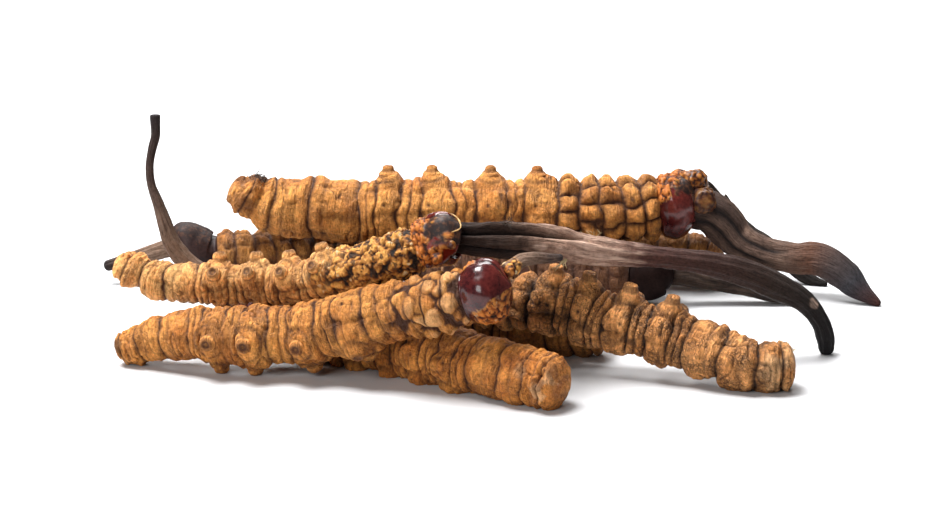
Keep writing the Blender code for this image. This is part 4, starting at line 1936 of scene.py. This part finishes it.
TOP = Larva(
    name="top",
    body=(
        (23.1, 29.0, 10.0, 3.5), (20.3, 29.0, 9.7, 3.6), (15.3, 28.8, 9.3, 3.6),
        (7.4, 28.6, 9.3, 3.55), (-1.0, 28.5, 9.4, 3.55), (-10.1, 28.7, 9.4, 3.5),
        (-17.2, 29.0, 9.4, 3.5), (-22.5, 29.2, 9.9, 3.2), (-25.4, 29.4, 11.0, 2.7),
        (-27.6, 29.5, 12.3, 2.3),
    ),
    legs=straight_legs(128.0, 34.0, (0.29, 0.397, 0.529, 0.629)),
    leg_height=1.9,
    relief=Relief(
        ring_depth=0.32, lump=0.30, wrinkle=0.09, tail_rough=0.5, granule=0.02, leg_dark=0.6,
        leg_mound=0.9, block_depth=0.24, mound_width=1.6, crack=0.12, bulge=0.32,
    ),
    leg_shape=LegShape(
        base_radius=2.1, tip_radius=0.40, root_depth=1.4, rings=4.5, ring_height=0.07,
        paleness=0.15,
    ),
    waists=(
        Waist(0.925, 0.014, 0.75), Waist(0.975, 0.016, 0.5, angle=60.0, arc=90.0),
        Waist(0.80, 0.030, -0.50, angle=95.0, arc=110.0),
        Waist(0.22, 0.018, -0.45, angle=95.0, arc=60.0),
        Waist(0.16, 0.016, -0.4, angle=95.0, arc=60.0),
    ),
    smudges=(
        Patch(0.935, 100.0, 2.4, 0.95), Patch(0.985, 60.0, 1.5, 0.7), Patch(0.96, -10.0, 1.4, 0.6),
        Patch(0.05, 80.0, 2.4, 0.6), Patch(0.12, 20.0, 1.8, 0.4),
    ),
    seed=13,
)

RIGHT = Larva(
    name="right",
    body=(
        (-4.5, 0.0, 6.4, 2.4), (-0.2, -0.8, 6.6, 2.5), (4.7, -2.0, 6.9, 2.6),
        (10.2, -4.0, 6.6, 2.75), (15.3, -5.8, 5.6, 2.8), (20.5, -7.8, 4.7, 2.75),
        (26.2, -10.5, 3.5, 2.65), (30.0, -12.0, 2.5, 2.6), (34.5, -11.5, 2.3, 2.3),
    ),
    legs=straight_legs(120.0, 30.0, (0.342, 0.422, 0.538, 0.652)),
    leg_height=1.9,
    relief=Relief(
        ring_depth=0.44, granule=0.06, granule_size=0.36, leg_dark=0.1, leg_mound=0.6,
        mound_width=1.5, crack=0.16,
        bulge=0.40, swell=0.18, tail_rough=0.4,
    ),
    leg_shape=LegShape(
        base_radius=1.30, tip_radius=0.66, rings=2.0, dish=-0.14, paleness=0.1, hollow=0.6,
    ),
    waists=(Waist(0.80, 0.025, -0.45, angle=80.0, arc=110.0),),
    smudges=(
        Patch(0.455, -12.0, 0.9, 0.7), Patch(0.57, -12.0, 1.0, 0.8), Patch(0.68, -15.0, 0.7, 0.5),
    ),
    pale_patches=(
        Patch(0.935, 15.0, 1.5, 0.9), Patch(0.94, -35.0, 1.2, 0.8), Patch(0.97, 40.0, 0.8, 0.6),
    ),
    seed=14,
)

FRONT = Larva(
    name="front",
    body=(
        (-21.2, 3.0, 3.0, 3.05), (-17.0, 0.5, 3.0, 3.15), (-12.6, -2.0, 3.0, 3.2),
        (-7.1, -5.5, 3.0, 3.2), (-2.8, -9.5, 3.0, 3.15), (1.2, -13.0, 3.0, 3.15),
        (4.3, -15.5, 2.95, 3.1), (9.9, -19.5, 2.6, 2.8),
    ),
    legs=straight_legs(-95.0, 35.0),
    leg_height=0.45,
    relief=Relief(
        ring_depth=0.30, granule=0.03, lump=0.28, leg_dark=0.3, leg_mound=0.6, bulge=0.25,
        tail_rough=0.34,
    ),
    leg_shape=LegShape(base_radius=1.7, tip_radius=0.8),
    waists=(Waist(0.93, 0.012, 0.45),),
    smudges=(Patch(0.965, 10.0, 0.8, 0.7), Patch(0.99, 50.0, 0.9, 0.6)),
    pale_patches=(
        Patch(0.96, -12.0, 0.9, 0.9), Patch(0.985, 25.0, 0.8, 0.7), Patch(0.90, 30.0, 0.8, 0.5),
    ),
    seed=15,
)

BACK_LEFT = Larva(
    name="back_left",
    body=(
        (-29.6, 32.0, 3.1, 3.0), (-20.0, 32.6, 2.95, 3.15), (-10.0, 32.9, 2.9, 3.15),
        (0.0, 32.3, 2.9, 3.1), (12.0, 31.0, 2.4, 2.6),
    ),
    legs=straight_legs(112.0, 20.0),
    leg_height=0.8,
    seed=16,
    rings=360,
    sides=132,
)

MIDDLE = Larva(
    name="middle",
    body=(
        (-20.5, 12.8, 2.7, 2.8), (-14.0, 9.4, 2.7, 2.85), (-6.0, 5.8, 2.7, 2.85),
        (2.0, 3.2, 2.7, 2.85), (9.0, 1.5, 2.65, 2.8), (15.5, 0.2, 2.3, 2.4),
    ),
    legs=straight_legs(130.0, 30.0),
    leg_height=0.9,
    seed=17,
    rings=360,
    sides=132,
)

REAR = Larva(
    name="rear",
    body=(
        (19.0, 22.4, 2.9, 2.9), (11.0, 24.0, 2.9, 3.05), (2.0, 25.0, 2.9, 3.05),
        (-8.0, 24.3, 2.85, 3.0), (-19.5, 20.8, 2.3, 2.4),
    ),
    legs=straight_legs(50.0, 30.0),
    leg_height=0.9,
    seed=18,
    rings=360,
    sides=132,
)

BACK_RIGHT = Larva(
    name="back_right",
    body=(
        (-11.5, 40.2, 2.8, 2.8), (-6.0, 40.0, 2.8, 2.95), (2.0, 39.1, 2.8, 3.0),
        (10.0, 37.5, 2.85, 3.0), (18.0, 35.4, 2.85, 3.0), (24.0, 33.8, 2.9, 2.9),
        (30.5, 32.2, 2.8, 2.6),
    ),
    legs=straight_legs(140.0, 30.0),
    leg_height=0.9,
    seed=19,
    rings=360,
    sides=132,
)

FRONT_LEFT_STALK = Stalk(
    name="front_left",
    rows=(
        (4.8, -13.3, 13.6, 0.8), (5.8, -12.2, 14.0, 0.75), (7.2, -11.2, 14.0, 0.65),
        (8.7, -10.4, 13.8, 0.5), (10.1, -10.0, 13.8, 0.32),
    ),
    crust_share=0.10, seed=31, rings=120, sides=60,
)

UPPER_LEFT_STALK = Stalk(
    name="upper_left",
    rows=(
        (-0.8, -8.5, 15.5, 1.5), (0.9, -8.2, 15.3, 1.75), (3.5, -7.6, 15.1, 2.0),
        (6.7, -6.8, 14.7, 2.0), (9.9, -6.2, 14.2, 1.85), (14.2, -5.3, 13.2, 1.5),
        (20.1, -3.9, 12.3, 1.15), (25.0, -2.6, 11.4, 1.2), (29.5, -1.2, 9.9, 1.5),
        (33.4, 0.0, 8.0, 1.45), (36.5, 0.7, 6.2, 1.2), (38.4, 1.0, 3.9, 1.0),
        (39.2, 1.2, 1.8, 1.0), (39.3, 1.1, -0.1, 0.8),
    ),
    grooves=(
        Groove(angle=34.0, width=15.0, depth=1.15, start=0.0, end=0.27, twist=90.0),
        Groove(angle=-40.0, width=17.0, depth=0.8, start=0.0, end=0.20, twist=-30.0),
        Groove(angle=120.0, width=16.0, depth=0.5, start=0.05, end=0.5, twist=30.0),
        Groove(angle=230.0, width=18.0, depth=0.5, start=0.05, end=0.6, twist=-30.0),
    ),
    worn=(0.14, 0.42), wear=1.0, spots=(Patch(0.865, 45.0, 0.6, 0.75),), seed=32, rings=420,
    sides=110,
    knobs=0.03, knob_share=0.72,
)

TOP_STALK = Stalk(
    name="top",
    rows=(
        (26.4, 29.2, 9.6, 2.3), (28.4, 28.9, 9.3, 2.35), (30.1, 28.7, 8.0, 2.4),
        (31.8, 28.2, 6.1, 2.15),
        (34.0, 27.4, 5.0, 1.85), (36.1, 26.7, 4.5, 1.75), (38.3, 26.0, 4.4, 1.8),
        (40.6, 25.2, 4.5, 1.9), (42.5, 24.3, 3.9, 1.9), (44.3, 23.3, 2.6, 1.7),
        (45.7, 22.2, 1.4, 1.2), (47.7, 20.6, 0.2, 0.35),
    ),
    grooves=(
        Groove(angle=20.0, width=14.0, depth=0.4, start=0.05, end=0.5, twist=20.0),
        Groove(angle=-30.0, width=12.0, depth=0.35, start=0.0, end=0.45, twist=10.0),
        Groove(angle=150.0, width=16.0, depth=0.4, start=0.0, end=0.6),
    ),
    worn=(0.1, 0.62), wear=0.55, spots=(Patch(0.30, 60.0, 1.5, 0.9),), tuck=2.3, seed=33, rings=300,
    sides=96,
)

TOP_SECOND_STALK = Stalk(
    name="top",
    kind="second_stalk",
    rows=(
        (26.0, 31.0, 11.9, 1.0), (28.1, 32.7, 11.3, 0.9), (30.0, 33.3, 9.0, 1.0),
        (31.9, 33.3, 7.1, 1.0),
        (33.7, 33.1, 5.5, 0.95), (35.8, 32.5, 4.2, 0.95), (37.8, 31.8, 2.6, 0.9),
        (39.5, 31.0, 1.3, 0.85), (40.9, 30.3, 0.6, 0.65), (42.6, 29.5, 0.2, 0.3),
    ),
    wear=0.15, seed=34, rings=200, sides=64,
)

RIGHT_STALK = Stalk(
    name="right",
    rows=(
        (-8.8, 1.3, 6.0, 1.0), (-11.6, 2.8, 5.9, 0.9), (-15.0, 5.2, 5.8, 0.75),
        (-18.5, 7.5, 5.6, 0.55),
    ),
    seed=35, rings=140, sides=56,
)

FRONT_STALK = Stalk(
    name="front",
    rows=(
        (-24.9, 5.8, 3.8, 1.2), (-26.7, 6.8, 5.4, 1.15), (-29.1, 7.7, 7.0, 1.1),
        (-31.3, 8.0, 8.9, 1.05), (-32.7, 8.3, 10.9, 0.95), (-33.4, 8.6, 13.0, 0.77),
        (-34.1, 9.0, 15.1, 0.6), (-34.8, 9.4, 17.0, 0.47), (-35.0, 9.7, 19.0, 0.44),
        (-34.7, 10.0, 20.9, 0.46), (-34.3, 10.2, 22.5, 0.49), (-34.3, 10.4, 24.8, 0.56),
    ),
    worn=(0.0, 0.6), wear=0.4, flat_tip=True, seed=36, rings=260, sides=64,
)

BACK_LEFT_STALK = Stalk(
    name="back_left",
    rows=(
        (-34.9, 31.8, 4.2, 1.1), (-37.0, 31.5, 3.7, 1.0), (-39.8, 31.1, 2.9, 0.85),
        (-42.9, 30.7, 2.1, 0.65),
    ),
    wear=0.3, seed=37, rings=120, sides=56,
)

MIDDLE_STALK = Stalk(
    name="middle",
    rows=((-25.5, 15.4, 3.0, 1.2), (-28.0, 16.8, 2.6, 1.1), (-30.0, 18.4, 2.0, 0.9)),
    seed=38, rings=100, sides=56,
)

REAR_STALK = Stalk(
    name="rear",
    rows=(
        (24.0, 21.8, 3.5, 1.15), (25.8, 21.9, 3.3, 1.2), (28.7, 22.0, 2.8, 1.2),
        (31.5, 22.0, 2.3, 1.2), (34.2, 21.8, 1.7, 1.15), (36.2, 21.6, 1.1, 0.95),
        (37.8, 21.5, 0.5, 0.5),
    ),
    wear=0.25, seed=39, rings=180, sides=64,
)

BACK_RIGHT_STALK = Stalk(
    name="back_right",
    rows=(
        (-16.9, 40.3, 3.4, 1.5), (-20.0, 40.4, 3.2, 1.4), (-23.5, 40.2, 2.2, 1.3),
        (-27.0, 39.4, 1.2, 1.1), (-30.0, 38.0, 0.7, 0.7),
    ),
    seed=40, rings=150, sides=60,
)


def head_between(larva: Larva, stalk: Stalk, radius: float, **details: object) -> Head:
    """Return the head that joins a larva's neck to its stalk's root."""
    return Head(larva.name, radius, larva.path, Path(stalk.rows), seed=larva.seed + 40, **details)


class Pile:
    """The nine specimens, each larva with its head and stalks."""

    def __init__(self, effects: Effects) -> None:
        """Prepare every finish that the pieces share.

        Args:
            effects: The shared node groups.
        """
        self.effects = effects
        tan = LarvaSkin("tan_skin")
        # painted shade: the rear larva gets a darker copy of the tan skin, for the shade that it
        # lies in
        shaded_tan = LarvaSkin("shaded_tan_skin", light=(0.17, 0.062, 0.016), deep=(0.08, 0.028, 0.009))
        self.skins = {
            "front_left": LarvaSkin(
                "golden_skin", light=(0.88, 0.37, 0.080), deep=(0.58, 0.195, 0.032),
                pale=(0.90, 0.48, 0.19),
            ),
            "upper_left": LarvaSkin(
                "crusted_skin", light=(1.0, 0.54, 0.185), deep=(0.96, 0.40, 0.105),
            ),
            "top": LarvaSkin(
                "orange_tan_skin", light=(0.88, 0.385, 0.088), deep=(0.57, 0.20, 0.034), bump=0.7,
            ),
            "right": LarvaSkin(
                "ochre_skin", light=(1.0, 0.445, 0.140), deep=(0.80, 0.315, 0.082),
                crease=(0.040, 0.016, 0.006), bump=1.0, leather=1.0,
            ),
            "front": LarvaSkin("orange_skin", light=(0.82, 0.32, 0.060), deep=(0.54, 0.165, 0.024)),
            "back_left": tan, "middle": tan, "rear": shaded_tan, "back_right": tan,
        }
        self.materials = {skin.name: skin.material(effects) for skin in self.skins.values()}
        self.horn = HeadHorn("dark_red_horn").material(effects)
        self.red_horn = HeadHorn(
            "red_horn", light=(0.19, 0.018, 0.008), deep=(0.050, 0.005, 0.004),
        ).material(effects)
        self.dull_horn = HeadHorn(
            "dull_horn", light=(0.034, 0.016, 0.014), deep=(0.014, 0.008, 0.008), gloss=0.0,
            polish=(0.38, 0.55),
        ).material(effects)
        # painted shade: the rear head's horn is darkened for the shade that it lies in
        self.shaded_horn = HeadHorn(
            "shaded_horn", light=(0.012, 0.006, 0.005), deep=(0.006, 0.003, 0.003), gloss=0.0,
            polish=(0.45, 0.65), specular=0.03,
        ).material(effects)
        self.brown = StalkFibre("brown_fibre").material(effects)
        self.weathered = StalkFibre(
            "weathered_fibre",
            stops=(
                (0.0, (0.020, 0.010, 0.007)), (0.13, (0.055, 0.028, 0.018)),
                (0.22, (0.31, 0.180, 0.125)),
                (0.34, (0.33, 0.195, 0.140)), (0.42, (0.085, 0.034, 0.026)),
                (0.56, (0.058, 0.026, 0.020)),
                (0.76, (0.032, 0.019, 0.014)), (0.88, (0.013, 0.009, 0.008)),
                (1.0, (0.005, 0.005, 0.006)),
            ),
            worn=(0.62, 0.42, 0.32),
        ).material(effects)
        self.dark = StalkFibre(
            "blackish_fibre", stops=((0.0, (0.034, 0.018, 0.011)), (1.0, (0.012, 0.009, 0.008))),
        ).material(effects)
        self.slate = StalkFibre(
            "slate_tipped_fibre",
            stops=(
                (0.0, (0.036, 0.020, 0.015)), (0.25, (0.095, 0.056, 0.042)),
                (0.50, (0.105, 0.060, 0.042)),
                (0.62, (0.100, 0.042, 0.024)), (0.72, (0.060, 0.040, 0.036)),
                (0.85, (0.035, 0.034, 0.040)),
                (1.0, (0.050, 0.014, 0.010)),
            ),
        ).material(effects)

    def build_larvae(self) -> None:
        """Make every larva in its own skin."""
        for larva in (
            FRONT_LEFT, UPPER_LEFT, TOP, RIGHT, FRONT, BACK_LEFT, MIDDLE, REAR, BACK_RIGHT,
        ):
            larva.build(self.materials[self.skins[larva.name].name])

    def build_heads(self) -> None:
        """Make every head with its patches of crust."""
        head_between(
            FRONT_LEFT, FRONT_LEFT_STALK, 3.15, nose=(4.2, -15.3, 12.0),
            crust=(Patch(-0.1, 100.0, 1.6), Patch(0.60, -52.0, 1.9), Patch(0.95, -30.0, 1.5, 0.8)),
            knobs=(Knob((4.5, -14.2, 13.5), 0.6, crust=0.75),),
        ).build(self.horn)
        upper_left = head_between(
            UPPER_LEFT, UPPER_LEFT_STALK, 2.9,
            crust=(Patch(0.05, 70.0, 2.4), Patch(0.10, 15.0, 2.5), Patch(0.6, -10.0, 1.1, 0.8)),
            dark=(Patch(0.80, 50.0, 1.9), Patch(1.0, 20.0, 1.6)),
            lump=0.42, profile=(0.84, 0.96, 0.95, 0.80, 0.50),
            knobs=(
                Knob((-3.1, -11.2, 14.0), 0.62, crust=0.8),
                Knob((-1.6, -11.0, 15.4), 0.5, crust=0.4),
                Knob((-2.0, -9.6, 17.0), 0.55, crust=0.5),
            ),
        )
        upper_left.build(self.red_horn)
        rim = PlainFinish("gold_rim", (0.60, 0.36, 0.13), 0.5).material(self.effects)
        Rim("upper_left_head_rim", 0.84, 94.0, 26.0, lean=0.40).build(upper_left, rim)
        head_between(
            TOP, TOP_STALK, 3.7, nose=(26.9, 29.0, 10.8),
            crust=(Patch(-0.2, 95.0, 3.4), Patch(-0.3, 40.0, 1.6)), dark=(Patch(0.9, 70.0, 2.6),),
            tuck=2.2,
            profile=(1.0, 1.04, 0.97, 0.76, 0.42),
            knobs=(
                Knob((26.6, 30.0, 12.4), 1.7, crust=0.55),
                Knob((27.6, 28.6, 10.4), 2.0, crust=0.15),
                Knob((25.4, 31.5, 12.2), 1.5, crust=0.8),
            ),
        ).build(self.horn)
        head_between(RIGHT, RIGHT_STALK, 2.5).build(self.horn)
        head_between(FRONT, FRONT_STALK, 2.95).build(self.horn)
        head_between(
            BACK_LEFT, BACK_LEFT_STALK, 3.2, tuck=1.5, dark=(Patch(0.5, 80.0, 2.5, 0.6),),
        ).build(self.dull_horn)
        head_between(MIDDLE, MIDDLE_STALK, 2.7).build(self.horn)
        head_between(REAR, REAR_STALK, 2.8).build(self.shaded_horn)
        head_between(BACK_RIGHT, BACK_RIGHT_STALK, 2.9).build(self.horn)

    def build_stalks(self) -> None:
        """Make every stalk."""
        FRONT_LEFT_STALK.build(self.brown)
        UPPER_LEFT_STALK.build(self.weathered)
        TOP_STALK.build(self.slate)
        TOP_SECOND_STALK.build(self.dark)
        RIGHT_STALK.build(self.brown)
        FRONT_STALK.build(self.brown)
        BACK_LEFT_STALK.build(self.brown)
        MIDDLE_STALK.build(self.brown)
        # painted shade: the rear stalk takes the blackish fibre for the shade that it lies in
        REAR_STALK.build(self.dark)
        BACK_RIGHT_STALK.build(self.brown)

    def build_hairs(self) -> None:
        """Make the tufts of hair, the shreds and the broken spike."""
        hair = PlainFinish("dark_hair", (0.045, 0.028, 0.018)).material(self.effects)
        Tuft(
            "top_tail_tuft", (-24.5, 28.6, 13.0), (0.6, 0.0, 1.0), count=110, length=0.42,
            thickness=0.07, footprint=0.8,
        ).build(hair)
        Tuft(
            "head_root_tuft", (4.4, -8.6, 17.0), (-0.2, -0.2, 1.0), count=30, length=0.5,
            thickness=0.04, seed=6,
        ).build(hair)
        Tuft(
            "second_stalk_spike", (31.6, 33.2, 7.6), (-0.1, 0.0, 1.0), 1, 3.4, 0.4, 0.0, 0.0, 12,
            sides=14,
        ).build(hair)
        pale = PlainFinish("pale_hair", (0.50, 0.38, 0.20)).material(self.effects)
        Tuft(
            "right_tail_tuft", (33.4, -11.8, 4.2), (0.4, -0.2, 1.0), count=80, length=0.6,
            footprint=0.8, seed=4,
        ).build(pale)
        Tuft(
            "shred_under_stalk", (10.4, -7.6, 13.0), (-0.3, -0.1, -0.9), 8, 1.0, 0.09, 0.4, 0.3, 7,
        ).build(pale)
        Tuft(
            "stalk_top_fibres", (13.2, -5.5, 14.7), (-0.8, 0.0, 0.6), 16, 0.8, 0.03, 0.5, 0.7, 8,
        ).build(pale)


# --------------------------------------------------------------------------
# Studio
# --------------------------------------------------------------------------


@dataclass(frozen=True)
class Studio:
    """A pale floor, soft lights and the camera, in metres."""

    floor_half: float = 3.0
    camera: tuple[float, float, float] = (-0.00245, -0.3365, 0.09543)
    target: tuple[float, float, float] = (-0.00245, -0.0112, 0.0113)
    lens: float = 120.0

    def build(self) -> None:
        """Set up the floor, the lights, the sky and the camera."""
        bpy.context.scene.view_settings.view_transform = "Standard"
        self.build_floor()
        self.build_sky()
        self.add_light("key_light", (-0.22, 0.07, 0.60), 0.32, 10.5)
        self.add_light("back_light", (0.02, 0.46, 0.42), 0.30, 2.5)
        self.add_light("front_light", (-0.34, -0.52, 0.32), 0.30, 2.3)
        self.build_camera()

    def build_floor(self) -> None:
        """Make the floor as one large pale square on z = 0."""
        half = self.floor_half
        mesh = bpy.data.meshes.new("floor")
        mesh.from_pydata(
            [(-half, -half, 0), (half, -half, 0), (half, half, 0), (-half, half, 0)], [],
            [(0, 1, 2, 3)],
        )
        material, _, shader = start_material("pale_floor")
        shader.inputs["Base Color"].default_value = (0.58, 0.58, 0.59, 1.0)
        shader.inputs["Roughness"].default_value = 0.6
        mesh.materials.append(material)
        floor = bpy.data.objects.new("floor", mesh)
        bpy.context.scene.collection.objects.link(floor)

    @staticmethod
    def build_sky() -> None:
        """Light the scene evenly from all round with white."""
        world = bpy.data.worlds.new("white_sky")
        world.use_nodes = True
        back = world.node_tree.nodes["Background"]
        back.inputs["Color"].default_value = (1.0, 1.0, 1.0, 1.0)
        back.inputs["Strength"].default_value = 0.10
        bpy.context.scene.world = world

    def add_light(
        self, name: str, place: tuple[float, float, float], size: float, power: float,
    ) -> None:
        """Add one square soft light that points at the pile.

        Args:
            name: Name of the light.
            place: Where it stands, in metres.
            size: Width of the square in metres.
            power: Its power in watts.
        """
        lamp = bpy.data.lights.new(name, "AREA")
        lamp.size = size
        lamp.energy = power
        thing = bpy.data.objects.new(name, lamp)
        thing.location = place
        aim = Vector(self.target) - Vector(place)
        thing.rotation_euler = aim.to_track_quat("-Z", "Y").to_euler()
        bpy.context.scene.collection.objects.link(thing)

    def build_camera(self) -> None:
        """Add the camera, a long lens a little above the pile."""
        lens = bpy.data.cameras.new("camera")
        lens.lens = self.lens
        lens.clip_start = 0.01
        thing = bpy.data.objects.new("camera", lens)
        thing.location = self.camera
        aim = Vector(self.target) - Vector(self.camera)
        thing.rotation_euler = aim.to_track_quat("-Z", "Y").to_euler()
        bpy.context.scene.collection.objects.link(thing)
        bpy.context.scene.camera = thing


def main() -> None:
    """Build the pile and the studio, one class after another."""
    pile = Pile(Effects())
    pile.build_larvae()
    pile.build_heads()
    pile.build_stalks()
    pile.build_hairs()
    Studio().build()


if __name__ == "__main__":
    main()
